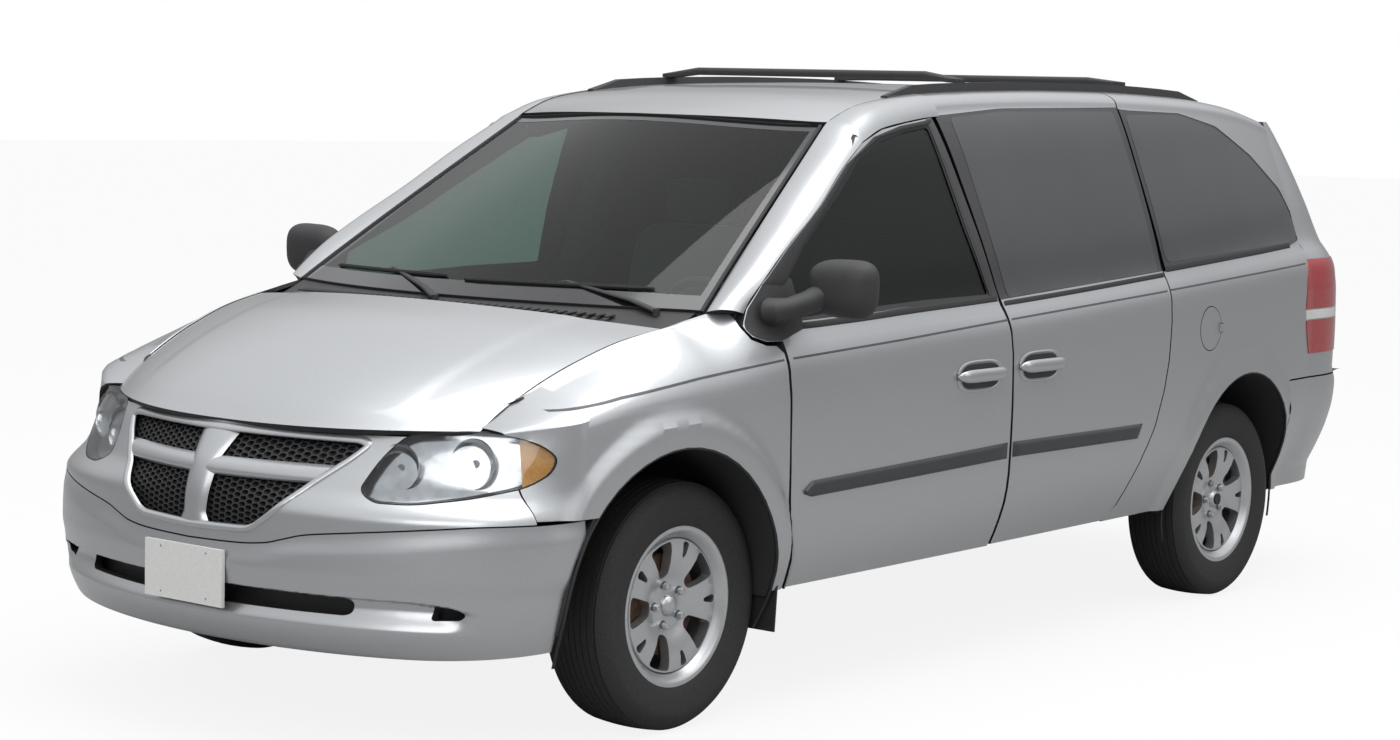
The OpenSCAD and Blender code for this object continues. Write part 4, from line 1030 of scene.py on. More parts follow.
for name, foot, (a0, b0), (a1, b1) in (("driver", (0.86, -0.02), (0.80, 0.09), (0.06, 0.075)),
                                       ("passenger", (0.02, -0.02), (-0.04, 0.085), (-0.78, 0.085))):
    foot = on_screen(*foot, 12)
    centre = (on_screen(a0, b0, 10) + on_screen(a1, b1, 10)) / 2
    round_bar("wiper_arm_" + name, [foot, mix(foot, centre, 0.25) + (0, 0, 10),
                                    mix(foot, centre, 0.9) + (0, 0, 10),
                                    centre], [13, 11, 8, 6], "body", black_plastic, 10, 0.6)
    steps = [on_screen(mix(a0, a1, t), mix(b0, b1, t), 5) for t in np.linspace(0, 1, 12)]
    round_bar("wiper_blade_" + name, steps, [3] + [5] * 10 + [3], "body", black_rubber_and_gap_shade, 6, 1.4)
    round_bar("wiper_post_" + name, [foot - (0, 0, 14), foot + (0, 0, 7)], 11, "body", black_plastic, 14)

# ---- headlamps ----
# A clear moulded lens over two chrome bowls and an amber outer third, in a black housing.
lamp_glass = clear_glass("clear lamp lens", (0.90, 0.91, 0.92), 0.03)
chrome = speckled("chrome reflector", (0.52, 0.53, 0.54), (0.66, 0.67, 0.68), 30.0, 0.16, 0.03, metallic=1.0)
amber = speckled("amber lens", (0.62, 0.27, 0.03), (0.80, 0.38, 0.06), 160.0, 0.25, 0.3, coat=0.6)
lens = nose_band("lens", 22, 89.9, 640, 856, 60, 20, 0, (lamp_glass,))
thicken(lens, 3)
cut(lens, lamp_prism(rounded(LAMP, 40), 500, 1300), "INTERSECT")
both_sides(lens)
lens.name = "headlamp_lenses"
fit(lens, "body", (), ("headlamps",))
housing = nose_band("housing", 22, 89.9, 640, 856, 60, 20, 34, (chrome, black_rubber_and_gap_shade))
thicken(housing, 4)
cut(housing, lamp_prism(rounded(grown(LAMP, 2), 40), 500, 1300), "INTERSECT")
both_sides(housing)
housing.name = "headlamp_housings"
fit(housing, "body")


def lamp_wall(u, v):
    """The black side wall between the lens's edge and the housing."""
    w, z = around(np.array(rounded(grown(LAMP, 1.5), 40, 7)), u)
    a = np.linspace(15, 90, 400)
    s_all, y_all, _ = nose(a[None, :], z[:, None], 0)
    miss = np.abs((s_all + y_all) / 2 ** 0.5 - w[:, None])
    best = a[np.argmin(miss, axis=1)]
    return nose(best, z, mix(-0.5, 36, v))


wall = skin("headlamp_walls", 96, 4, lamp_wall, (black_rubber_and_gap_shade,))
thicken(wall, 1.5)
both_sides(wall)
fit(wall, "body")
lamp_amber = nose_band("amber", 22, 89.9, 640, 856, 40, 16, 6, (amber,))
thicken(lamp_amber, 2)
cut(lamp_amber, lamp_prism([(196, 600), (400, 600), (400, 900), (176, 900)], 500, 1300), "INTERSECT")
cut(lamp_amber, lamp_prism(rounded(grown(LAMP, -3), 36), 500, 1300), "INTERSECT")
both_sides(lamp_amber)
lamp_amber.name = "headlamp_indicators"
fit(lamp_amber, "body")


def bowl(name, w, z, radius, deep):
    """A chrome reflector bowl facing forward, spun about its axis, with a bulb cap at its centre."""
    a = np.linspace(15, 90, 400)
    s_all, y_all, _ = nose(a, z + 0 * a, 12)
    i = int(np.argmin(np.abs((s_all + y_all) / 2 ** 0.5 - w)))
    centre = place(s_all[i] + 4, y_all[i], z)
    deselect()
    bpy.ops.mesh.primitive_circle_add(vertices=40, radius=radius / 1000, fill_type="NOTHING")
    made = bpy.context.object
    made.name = name
    bpy.ops.object.mode_set(mode="EDIT")
    for k in range(1, 9):
        t = k / 8
        sunk = -deep / 1000 / 8 * (1.8 - 1.6 * t)
        bpy.ops.mesh.extrude_edges_move(TRANSFORM_OT_translate={"value": (0, 0, sunk)})
        grow = (1 - 0.80 * t ** 1.5) / (1 - 0.80 * ((k - 1) / 8) ** 1.5)
        bpy.ops.transform.resize(value=(grow, grow, 1))
    bpy.ops.mesh.extrude_edges_move(TRANSFORM_OT_translate={"value": (0, 0, 0.018)})
    bpy.ops.transform.resize(value=(0.8, 0.8, 1))
    bpy.ops.mesh.edge_face_add()
    bpy.ops.mesh.select_all(action="SELECT")
    bpy.ops.mesh.normals_make_consistent(inside=True)
    bpy.ops.object.mode_set(mode="OBJECT")
    facing = Vector((0.96, 0.22, 0.16)).to_track_quat("Z", "Y")
    made.matrix_world = Matrix.Translation(centre) @ facing.to_matrix().to_4x4()
    bpy.ops.object.transform_apply(location=True, rotation=True, scale=True)
    both_sides(made)
    return fit(made, "body", (chrome,))


bowl("lamp_bowl_inner", -128, 752, 62, 34)
bowl("lamp_bowl_outer", 60, 770, 66, 34)

# ---- tail lamps ----
# Upright lamps on the rear corners: red above and below a clear band, over a black housing.
red = speckled("red lamp lens", (0.30, 0.008, 0.010), (0.42, 0.015, 0.018), 120.0, 0.18, 0.2, coat=0.8)
pale_lens = speckled("pale lamp lens", (0.62, 0.62, 0.60), (0.74, 0.74, 0.72), 120.0, 0.2, 0.2, coat=0.8)


def tail_lens(name, z0, z1, material):
    def shape(u, v):
        z = mix(z0, z1, v)
        start = 3505 + 38 * ((z - 1005) / 165) ** 2
        flank = u < 0.4
        a = mix(89.9, 49, np.clip((u - 0.4) / 0.6, 0, 1))
        s, y, z2 = tail(a, z)
        s_side = mix(start, 3560, np.clip(u / 0.4, 0, 1))
        return np.where(flank, s_side, s + 2), np.where(flank, side_y(s_side, z) + 2.5, y + 2.5), z
    lens = skin(name, 30, 14, shape, (material,))
    thicken(lens, 6)
    cut(lens, prism(mirrored_outline(GATE_GAP), "X", 3520, 4300))
    both_sides(lens)
    return fit(lens, "body")


tail_lens("tail_lamp_red_upper", 1000, 1180, red)
tail_lens("tail_lamp_clear", 962, 996, pale_lens)
tail_lens("tail_lamp_red_lower", 836, 958, red)
finish_node("tail_lamps", black_plastic)

# ---- roof rack ----
# Two black rails along the roof's edges on moulded feet, and two arched crossbars clamped on them.
finish_node("roof_rack", black_plastic)


# ---- sliding doors ----
# A pressed steel shell on each side, with dark glass set flush in a black frame. The door runs in
# a rail below its window; the handle, moulding and trim strips ride with it.
SLIDER = [(1489, 356), (2181, 356), (2236, 400), (2272, 486), (2311, 568), (2372, 664), (2419, 780),
          (2444, 880), (2456, 1010), (2478, 1250), (2490, 1480), (2498, 1900), (1437, 1900), (1430, 1680),
          (1424, 1660), (1440, 1560), (1466, 1300), (1482, 1104), (1489, 800)]
SLIDER_WINDOW = [(1380, 1112), (2540, 1176), (2540, 1714), (1800, 1702), (1380, 1672)]


slider = full_side("left_sliding_door", 1405, 2510, 96, (paint, black_rubber_and_gap_shade))
thicken(slider, 24)
cut(slider, prism(SLIDER, "Y", 450, 1150), "INTERSECT")
cut(slider, prism(rounded(SLIDER_WINDOW, 26), "Y", 500, 1150))


def flush_glass(name, outline, s0, s1, z0, z1, inset, radius, material, columns=40, rows=24):
    def shape(u, v):
        s, z = mix(s0, s1, u), mix(z0, z1, v)
        return s, side_y(s, z) - inset, z
    pane = skin(name, columns, rows, shape, (material,))
    thicken(pane, 4)
    cut(pane, prism(rounded(outline, radius), "Y", 500, 1150), "INTERSECT")
    return pane


def band_on_side(name, lower, upper, lift, swell, columns, rows, materials):
    """A strip on the body side between two lines of (s, z), standing proud and crowned across."""
    def shape(u, v):
        (ls, lz), (hs, hz) = along(lower, u), along(upper, u)
        s, z = mix(ls, hs, v), mix(lz, hz, v)
        crown = 1 - np.abs(2 * v - 1) ** 4
        ends = 1 - np.abs(2 * u - 1) ** 40
        return s, side_y(s, z) + lift + swell * crown * ends, z
    return skin(name, columns, rows, shape, materials)


def shoulder_line(s0, s1, above):
    return [(s, float(curve(SHOULDER_Z, s)) + above) for s in np.linspace(s0, s1, 30)]


def coach_line(name, points, lift=0.3, half=3):
    """The thin dark line painted below the windows, through points of (s, z)."""
    return band_on_side(name, [(s, z - half) for s, z in points], [(s, z + half) for s, z in points], lift,
                        0.2,
                        60, 2, (stripe_dark,))


mould_grey = speckled("grey side moulding", (0.030, 0.031, 0.033), (0.044, 0.045, 0.048), 400.0, 0.42, 0.3)
stripe_dark = speckled("dark coach line", (0.06, 0.062, 0.068), (0.08, 0.082, 0.09), 50.0, 0.3, 0.05)


def pull_handle(name, s0, s1, z):
    """A bar handle over a round recess, on a shallow painted bezel."""
    def recess(u, v):
        s = mix(s0 + 18, s1 - 18, u)
        zz = z - 4 + mix(-38, 38, v) * np.sqrt(np.clip(1 - (2 * u - 1) ** 4, 0, 1))
        return s, side_y(s, zz) + 1.2, zz
    cup = skin(name + "_recess", 24, 12, recess, (black_plastic,))

    def bar(u, v):
        s = mix(s0, s1, u)
        end = np.sqrt(np.clip(1 - np.abs(2 * u - 1) ** 6, 0, 1))
        turn = v * 2 * pi
        zz = z + 20 * end * np.cos(turn)
        return s, side_y(s, zz) + 2 + 20 * end + 11 * end * np.sin(turn), zz
    grip = skin(name, 40, 20, bar, (paint,))
    edit_all(grip, weld(0.0002), FACE_OUT)

    def bezel(u, v):
        t = 2 * pi * u
        r = mix(1.0, 1.22, v)
        s = (s0 + s1) / 2 + (s1 - s0) / 2 * 0.80 * r * np.sign(np.cos(t)) * np.abs(np.cos(t)) ** 0.6
        zz = z - 4 + 40 * r * np.sign(np.sin(t)) * np.abs(np.sin(t)) ** 0.8
        return s, side_y(s, zz) + 0.6 + 2.6 * np.sin(pi * v), zz
    frame_ring = skin(name + "_bezel", 64, 6, bezel, (paint,))
    return cup, grip, frame_ring


slider_parts = [(slider, ("left_sliding_door",), ("right_sliding_door",))]
black_frame = flush_glass("slider_frame", [(1483, 1100), (2468, 1156), (2478, 1250), (2490, 1480),
                                           (2496, 1722), (1800, 1710),
                                           (1427, 1680), (1441, 1560), (1467, 1300)], 1400, 2520, 1080, 1735,
                                           1.6, 3, black_gloss)
slider_pane = flush_glass("slider_glass", [(1524, 1122), (2446, 1172), (2452, 1300), (2460, 1500),
                                           (2462, 1700), (1800, 1692),
                                           (1500, 1670), (1508, 1500)], 1480, 2490, 1100, 1730, 0.4, 24,
                                           privacy_glass)
slider_parts += [(black_frame, (), ()), (slider_pane, (), ())]
belt = band_on_side("slider_belt", shoulder_line(1490, 2468, -2), shoulder_line(1490, 2470, 13), 0.3, 3, 60,
                    6,
                    (black_rubber_and_gap_shade,))
strip = band_on_side("slider_moulding", [(1496, 634), (1900, 632), (2262, 630)],
                     [(1496, 682), (1900, 680), (2290, 678)],
                     0.5, 9, 70, 10, (mould_grey,))
line = coach_line("slider_coach_line", [(1495, 1059), (2400, 1106), (2450, 1109)])
slider_parts += [(belt, (), ()), (strip, (), ()), (line, (), ())]
slider_parts += [(piece, (), ()) for piece in pull_handle("slider_handle", 1513, 1763, 913)]
for piece, here, there in slider_parts:
    twin = other_side(piece, "right_" + piece.name.replace("left_", ""))
    fit(piece, "body", (), here)
    fit(twin, "body", (), there)

# ---- rear side glass ----
# Dark glass bonded flush with the rear panels, a black edge all round and a strip along its foot.
quarter_black = flush_glass("rear_glass_frame", [(2497, 1174), (2500, 1400), (2506, 1712), (2560, 1714),
                                                 (2922, 1709), (3142, 1662),
                                                 (3356, 1556), (3524, 1430), (3602, 1286), (3570, 1236),
                                                 (3425, 1218), (2497, 1168)],
                            2480, 3620, 1140, 1730, 1.6, 4, black_gloss, 60, 30)
quarter_glass = flush_glass("rear_glass", [(2512, 1200), (2522, 1400), (2530, 1690), (2900, 1692),
                                           (3130, 1646), (3340, 1545),
                                           (3500, 1424), (3576, 1290), (3550, 1254), (3425, 1238)],
                            2490, 3610, 1150, 1720, 0.4, 34, privacy_glass, 60, 30)
foot = band_on_side("rear_glass_strip", [(2490, 1168), (3000, 1197), (3461, 1222)],
                    [(2494, 1188), (3000, 1216), (3470, 1240)],
                    0.4, 3, 60, 6, (black_rubber_and_gap_shade,))
rear_line = coach_line("rear_coach_line", [(2470, 1111), (3000, 1139), (3520, 1165)], 0.4)
for piece in (quarter_black, quarter_glass, foot, rear_line):
    both_sides(piece)
    fit(piece, "body", (), ("rear_side_glass",) if piece is quarter_glass else ())
front_line = band_on_side("fender_coach_line", [(-480, 904), (-297, 933), (1, 966), (352, 996)],
                          [(-480, 908), (-297, 939), (1, 972), (352, 1002)], 0.4, 0.2, 60, 2, (stripe_dark,))
both_sides(front_line)
fit(front_line, "body")

# ---- wheel liners and mud flaps ----
# Black plastic liners inside the wheel openings, a thin lip on the edge of each and a flap behind
# each front wheel.
finish_node("wheel_liners", black_plastic)


def lip_shape(centre):
    def shape(u, v):
        t = mix(-14, 194, u) * pi / 180
        grow = 3 + 4 * np.cos(2 * pi * v)
        s = centre[0] - (centre[2] - grow) * np.cos(t)
        z = centre[1] + (centre[3] - grow) * np.sin(t)
        return s, side_y(s, z) - 4 + 4 * np.sin(2 * pi * v), z
    return shape


for name, centre in (("front_arch_lips", FRONT_ARCH), ("rear_arch_lips", REAR_ARCH)):
    lip = skin(name, 90, 8, lip_shape(centre), (black_rubber_and_gap_shade,))
    both_sides(lip)
    fit(lip, "body")


def inner_arch(centre, s_max):
    def shape(u, v):
        t = mix(-2, 182, u) * pi / 180
        s = centre[0] - (centre[2] + 2) * np.cos(t)
        z = centre[1] + (centre[3] + 2) * np.sin(t)
        return np.minimum(s, s_max), mix(side_y(np.clip(s, -430, 4000), np.minimum(z, 790)) - 14, 640, v), z
    return shape


for name, centre, s_max in (("front_arch_liners", FRONT_ARCH, 500), ("rear_arch_liners", REAR_ARCH, 3436)):
    inner = skin(name, 60, 6, inner_arch(centre, s_max), (black_plastic,))
    thicken(inner, 2)
    both_sides(inner)
    fit(inner, "body")


def flap_shape(u, v):
    z = mix(238, 470, v)
    return 352 - 16 * (1 - v) + 0 * u, mix(780, 965, u), z


flap = skin("front_mud_flaps", 8, 8, flap_shape, (black_rubber_and_gap_shade,))
thicken(flap, 6)
both_sides(flap)
fit(flap, "body")

# ---- door pillar seals ----
# Black rubber strips stuck to the pillars, which close the gaps between the side glasses.
for name, line in (("front_pillar_seals", [(1470, 1100), (1455, 1300), (1424, 1560), (1406, 1672)]),
                   ("rear_pillar_seals", [(2478, 1150), (2484, 1300), (2496, 1500), (2500, 1700)])):
    seal = band_on_side(name, [(s + 30, z) for s, z in line], [(s - 30, z) for s, z in line], -17, 0, 30, 4,
                        (black_rubber_and_gap_shade,))
    thicken(seal, 4)
    both_sides(seal)
    fit(seal, "body")

# ---- engine, tank and exhaust ----
# Cast and pressed metal under the floor, seen only from low down.
cast = speckled("cast aluminium", (0.16, 0.16, 0.165), (0.26, 0.26, 0.27), 90.0, 0.5, 0.5, metallic=0.8)
finish_node("engine", cast)
finish_node("fuel_tank", black_plastic)
finish_node("exhaust", speckled("weathered steel pipe", (0.14, 0.10, 0.07), (0.30, 0.25, 0.20), 60.0, 0.5,
                                0.5, metallic=0.7))
finish_node("front_suspension", wax)
finish_node("rear_axle", wax)
rust = speckled("rusted brake iron", (0.055, 0.030, 0.020), (0.14, 0.075, 0.045), 45.0, 0.75, 0.6,
                metallic=0.2)
finish_node("left_knuckle", rust)
finish_node("right_knuckle", rust)

# ---- dashboard and seats ----
# A grey moulded dashboard over the full width, and three rows of cloth seats with pressed seams.
trim_grey = speckled("grey interior plastic", (0.10, 0.10, 0.105), (0.14, 0.14, 0.145), 400.0, 0.6, 0.4)
finish_node("dashboard", trim_grey)
finish_node("steering_wheel", black_plastic)


def woven_cloth():
    """Woven seat cloth: two crossed thread waves with a little colour noise."""
    material, nodes, links = nodes_of("seat cloth")
    shader = nodes["Principled BSDF"]
    place_in = nodes.new("ShaderNodeTexCoord")
    turn = nodes.new("ShaderNodeMapping")
    warp, weft = nodes.new("ShaderNodeTexWave"), nodes.new("ShaderNodeTexWave")
    for thread, way in ((warp, "Y"), (weft, "Z")):
        thread.bands_direction = way
        thread.inputs["Scale"].default_value = 140.0
        thread.inputs["Distortion"].default_value = 1.0
        links.new(turn.outputs[0], thread.inputs["Vector"])
    woven = nodes.new("ShaderNodeMath")
    woven.operation = "MULTIPLY"
    tones = two_tones(nodes, (0.075, 0.077, 0.080), (0.150, 0.153, 0.158))
    relief = nodes.new("ShaderNodeBump")
    relief.inputs["Strength"].default_value = 0.4
    relief.inputs["Distance"].default_value = 0.001
    links.new(place_in.outputs["Object"], turn.inputs[0])
    links.new(warp.outputs["Fac"], woven.inputs[0])
    links.new(weft.outputs["Fac"], woven.inputs[1])
    links.new(woven.outputs[0], tones.inputs[0])
    links.new(woven.outputs[0], relief.inputs["Height"])
    links.new(tones.outputs[0], shader.inputs["Base Color"])
    links.new(relief.outputs[0], shader.inputs["Normal"])
    shader.inputs["Roughness"].default_value = 0.9
    shader.inputs["Sheen Weight"].default_value = 0.3
    return material


cloth = woven_cloth()


def cushion(name, side, y0, y1, crown, channels):
    """A stuffed block between four (s, z) corners: front low, front high, rear high, rear low."""
    deselect()
    bpy.ops.mesh.primitive_cube_add(size=2.0)
    pad = bpy.context.object
    pad.name = name
    edit_all(pad, (bpy.ops.mesh.subdivide, {"number_cuts": 19}))
    x, y, z = points_of(pad).T
    n = 6.0
    r = (np.abs(x) ** n + np.abs(y) ** n + np.abs(z) ** n) ** (1 / n)
    x, y, z = x / r, y / r, z / r
    top = np.clip(z, 0, 1) ** 4
    sunk = sum(np.exp(-((y - c) / 0.035) ** 2) for c in channels) * top
    z = z + crown * top * (1 - y * y) * (1 - x * x) - 0.08 * sunk
    a, b, c, d = (np.array(q, float) for q in side)
    f, h = (x[:, None] + 1) / 2, (z[:, None] + 1) / 2
    sz = (a * (1 - f) + d * f) * (1 - h) + (b * (1 - f) + c * f) * h
    move_points(pad, place(sz[:, 0], mix(y0, y1, (y + 1) / 2), sz[:, 1]))
    pad.data.materials.append(cloth)
    return pad


SEATS = [(1020, -380, 500), (1020, 380, 500), (1830, -380, 500), (1830, 380, 500), (2680, 0, 1220)]
pads = []
for s, middle, width in SEATS:
    y0, y1 = middle - width / 2, middle + width / 2
    grooves = (-0.55, 0.55) if width < 600 else (-0.33, 0.33)
    pads.append(cushion("seat_base", [(s, 560), (s - 14, 694), (s + 440, 684), (s + 460, 562)], y0, y1, 0.25,
                        grooves))
    pads.append(cushion("seat_back", [(s + 560, 600), (s + 440, 640), (s + 560, 1286), (s + 656, 1286)], y0,
                        y1, 0.0, ()))
    heads = (0,) if width < 600 else (-380, 380)
    for h in heads:
        pads.append(cushion("head_rest", [(s + 582, 1292), (s + 580, 1436), (s + 648, 1438), (s + 650, 1294)],
                            middle + h - 128, middle + h + 128, 0.05, ()))
seats = edit_all(join(pads), FACE_OUT)
seats.name = "seats_padded"
fit(seats, "body", (), ("seats",), 60)
for s, middle, width in SEATS:
    width = 400 if width < 600 else 1000
    deselect()
    bpy.ops.mesh.primitive_cube_add(size=1.0, location=tuple(place(s + 240, middle, 479)))
    base = bpy.context.object
    base.name = "seat_frame_%d_%d" % (s, middle + 400)
    base.scale = (0.40, width / 1000, 0.160)
    bpy.ops.object.transform_apply(location=True, rotation=True, scale=True)
    apply_modifier(base, "BEVEL", width=0.02, segments=3)
    fit(base, "body", (trim_grey,))


# ---- hood ----
# A pressed steel lid over the engine, hinged at its rear corners and latched at its front edge.


def hood_shape(u, v):
    a, t = mix(-0.9965, 0.9965, u), mix(0.0, 0.997, v)
    s, y, z = hood_at(a, t)
    out = np.abs(a)
    fold = smooth((out - 0.66) / 0.08) - smooth((out - 0.60) / 0.5) * 0.4
    return s, y, z - 3.5 * fold * smooth(t * 4) + 1.2


hood = skin("hood", 96, 60, hood_shape, (paint, black_rubber_and_gap_shade))
thicken(hood, 18)
fit(hood, "hood", (), ("hood",))

# ---- front doors ----
# A pressed steel shell on each side with a framed drop window, hinged at its front edge. The mirror,
# handle, moulding and trim strips ride with it.
FRONT_DOOR = [(388, 340), (1474, 340), (1478, 800), (1476, 1000), (1466, 1104), (1452, 1300),
              (1418, 1560), (1400, 1669), (1250, 1651), (1117, 1631), (993, 1591), (875, 1527), (666, 1391),
              (503, 1301), (357, 1207), (285, 1139), (258, 1092), (270, 1064), (310, 1050), (372, 1048),
              (372, 760)]
FRONT_WINDOW = [(446, 1100), (1440, 1130), (1404, 1340), (1374, 1648), (1240, 1634), (1095, 1609),
                (955, 1558), (749, 1421), (560, 1294), (440, 1196)]
door = full_side("left_front_door", 235, 1500, 110, (paint, black_rubber_and_gap_shade))
thicken(door, 26)
cut(door, prism(FRONT_DOOR, "Y", 450, 1150), "INTERSECT")
cut(door, prism(rounded(FRONT_WINDOW, 16), "Y", 450, 1150))
cut(door, prism([(1400, 1130), (1560, 1130), (1560, 1656), (1360, 1650), (1400, 1340)], "Y", 450, 1150))
door_parts = [(door, ("left_front_door",), ("right_front_door",))]
side_glass = clear_glass("smoked side glass", (0.36, 0.43, 0.41))


def frame_shape(u, v):
    middle = (960.0, 1330.0)
    s, z = around(np.array(rounded(FRONT_WINDOW, 16, 6)), u)
    r = np.hypot(s - middle[0], z - middle[1])
    inward = mix(-3, 15, v)
    s, z = s - inward * (s - middle[0]) / r, z - inward * (z - middle[1]) / r
    return s, side_y(s, z) + 1.6 - 5 * v, z


window_seal = skin("left_door_window_seal", 180, 4, frame_shape, (black_rubber_and_gap_shade,))
thicken(window_seal, 2)
pane = flush_glass("left_door_glass", FRONT_WINDOW, 430, 1450, 1090, 1660, 7, 16, side_glass)
sail = flush_glass("left_mirror_sail", [(261, 1092), (273, 1067), (312, 1053), (374, 1051), (480, 1078),
                                        (486, 1120), (480, 1222), (440, 1196), (357, 1204), (288, 1138)],
                   240, 510, 1040, 1240, -2.5, 14, black_plastic, 30, 24)
door_belt = band_on_side("left_door_belt", shoulder_line(470, 1462, 14), shoulder_line(470, 1460, 32), 1.2,
                         3, 60, 6,
                         (black_rubber_and_gap_shade,))
pillar_trim = flush_glass("left_door_rear_trim", [(1430, 1122), (1471, 1122), (1452, 1310), (1419, 1555),
                                                  (1401, 1668), (1366, 1664),
                                                  (1396, 1340)], 1340, 1490, 1110, 1690, -0.8, 3,
                                                  black_gloss, 14, 30)
frame_black = band_on_side("left_door_frame", [(440, 1196), (560, 1294), (749, 1421), (955, 1558),
                                               (1095, 1609), (1240, 1634), (1380, 1650)],
                           [(350, 1200), (503, 1297), (708, 1414), (884, 1530), (1062, 1610), (1215, 1643),
                            (1398, 1665)],
                           1.0, 2.5, 90, 8, (black_rubber_and_gap_shade,))
door_strip = band_on_side("left_door_moulding", [(436, 618), (470, 608), (900, 618), (1466, 632)],
                          [(436, 630), (470, 654), (900, 666), (1466, 682)], 0.5, 9, 70, 10, (mould_grey,))
door_line = coach_line("left_door_coach_line", [(392, 1001), (900, 1026), (1474, 1058)])
door_parts += [(piece, (), ()) for piece in (window_seal, frame_black)]
door_parts += [(pane, ("left_door_glass",), ("right_door_glass",))]
door_parts += [(piece, (), ()) for piece in (sail, door_belt, pillar_trim, door_strip, door_line)]
door_parts += [(piece, (), ()) for piece in pull_handle("left_door_handle", 1173, 1429, 902)]

# ---- mirrors ----
# A black moulded shell on a short arm from the door's front corner, with glass facing back.
deselect()
bpy.ops.mesh.primitive_uv_sphere_add(segments=40, ring_count=24, radius=1.0)
shell = bpy.context.object
shell.name = "left_mirror_shell"
x, y, z = points_of(shell).T
x2 = np.where(x > 0, 0.062 * x, 0.050 * x)
x2 = np.where(x < -0.35, -0.0175 + (x + 0.35) * 0.004, x2)
y2 = 0.112 * power(y, 0.62) * (1 + 0.06 * z)
z2 = 0.082 * power(z, 0.66) * (1 + 0.10 * y)
head = place(498, 1058, 1196)
move_points(shell, np.stack((x2, y2, z2), 1) + head)
shell.data.materials.append(black_plastic)
mirror_arm = round_bar("left_mirror_arm", [(350, 912, 1130), (352, 934, 1132), (380, 956, 1140),
                                           (425, 985, 1156), (480, 1010, 1180)],
                       [46, 44, 36, 38, 44], "left_door", black_plastic, 20, 0.85)
silvered = speckled("mirror glass", (0.55, 0.57, 0.58), (0.60, 0.62, 0.63), 10.0, 0.04, 0.0, metallic=1.0)


def mirror_glass_shape(u, v):
    t, r = 2 * pi * u, v
    y = 88 * r * np.sign(np.cos(t)) * np.abs(np.cos(t)) ** 0.75
    z = 60 * r * np.sign(np.sin(t)) * np.abs(np.sin(t)) ** 0.75
    return 498 + 20.8 + 0 * u, 1058 + y, 1196 + z


mirror_pane = skin("left_mirror_glass", 48, 6, mirror_glass_shape, (silvered,))
edit_all(mirror_pane, weld(0.0001))
door_parts += [(shell, ("left_mirror",), ("right_mirror",)), (mirror_arm, (), ()), (mirror_pane, (), ())]
for piece, here, there in door_parts:
    twin = other_side(piece, piece.name.replace("left", "right"))
    fit(piece, "left_door", (), here)
    fit(twin, "right_door", (), there)

# ---- fuel door ----
# A round painted flap over the filler, hinged at its rear edge with a small catch there.


def flap_disc(u, v):
    t, r = 2 * pi * u, 74 * v
    s, z = 2736 + r * np.cos(t), 970 + r * np.sin(t)
    return s, side_y(s, z) + 0.5, z


fuel_flap = skin("fuel_door", 64, 12, flap_disc, (paint, black_rubber_and_gap_shade))
edit_all(fuel_flap, weld(0.0001), FACE_OUT)
thicken(fuel_flap, 3)
fit(fuel_flap, "fuel_flap", (), ("fuel_door",))
round_bar("fuel_door_catch", [(2803, 986, 984), (2803, 986, 956)], 6, "fuel_flap", chrome, 12)

# ---- liftgate ----
# A pressed steel gate hinged on the roof, with a bonded heated window, a handle and a lamp strip.


def gate_shape(u, v):
    z = np.where(v < 0.94, mix(756, 1690, np.clip(v / 0.94, 0, 1)), 1690)
    a = mix(50, -50, u)
    s, y, z2 = tail(a, z)
    over = np.clip((v - 0.94) / 0.06, 0, 1)
    return mix(s, 3602, over), y, mix(z, roof_z(3596, y) + 1, over)


GATE = [(0, 752), (703, 752), (706, 900), (700, 1160), (668, 1400), (640, 1560), (612, 1664), (560, 1722),
        (0, 1732)]
GATE_WINDOW = [(0, 1196), (598, 1206), (616, 1240), (580, 1430), (540, 1600), (504, 1646), (0, 1660)]
gate = skin("liftgate", 70, 70, gate_shape, (paint, black_rubber_and_gap_shade))
thicken(gate, 22)
cut(gate, prism(mirrored_outline(GATE), "X", 3500, 4300), "INTERSECT")
cut(gate, prism(rounded(mirrored_outline(GATE_WINDOW), 40), "X", 3560, 4300))
fit(gate, "liftgate", (), ("liftgate",))


def gate_pane_shape(inset):
    def shape(u, v):
        z = mix(1185, 1672, v)
        s, y, z2 = tail(mix(48, -48, u), z)
        return s - inset, y, z
    return shape


gate_pane = skin("liftgate_glass", 50, 26, gate_pane_shape(3), (privacy_glass,))
thicken(gate_pane, 4)
pane_edge = [(p * 0.985, q + (4 if q < 1300 else -4)) for p, q in GATE_WINDOW]
cut(gate_pane, prism(rounded(mirrored_outline(pane_edge), 36), "X", 3560, 4300), "INTERSECT")
fit(gate_pane, "liftgate", (), ("liftgate_glass",))
gate_seal = skin("liftgate_glass_frame", 50, 26, gate_pane_shape(9), (black_gloss,))
thicken(gate_seal, 3)
cut(gate_seal, prism(rounded(mirrored_outline(GATE_WINDOW), 40), "X", 3560, 4300), "INTERSECT")
fit(gate_seal, "liftgate")


def garnish(name, y_half, z0, z1, lift, material, body):
    def shape(u, v):
        z = mix(z0, z1, v)
        y = mix(1, -1, u) * y_half
        wide = side_y(3560, z)
        a = np.degrees(np.arcsin(np.clip((np.abs(y) / wide) ** (1 / 0.62), 0, 1))) * np.sign(y)
        s, y2, z2 = tail(a, z)
        return s + lift * (1 - np.abs(2 * v - 1) ** 4) * (1 - np.abs(2 * u - 1) ** 30), y, z
    return fit(skin(name, 60, 8, shape, (material,)), body)


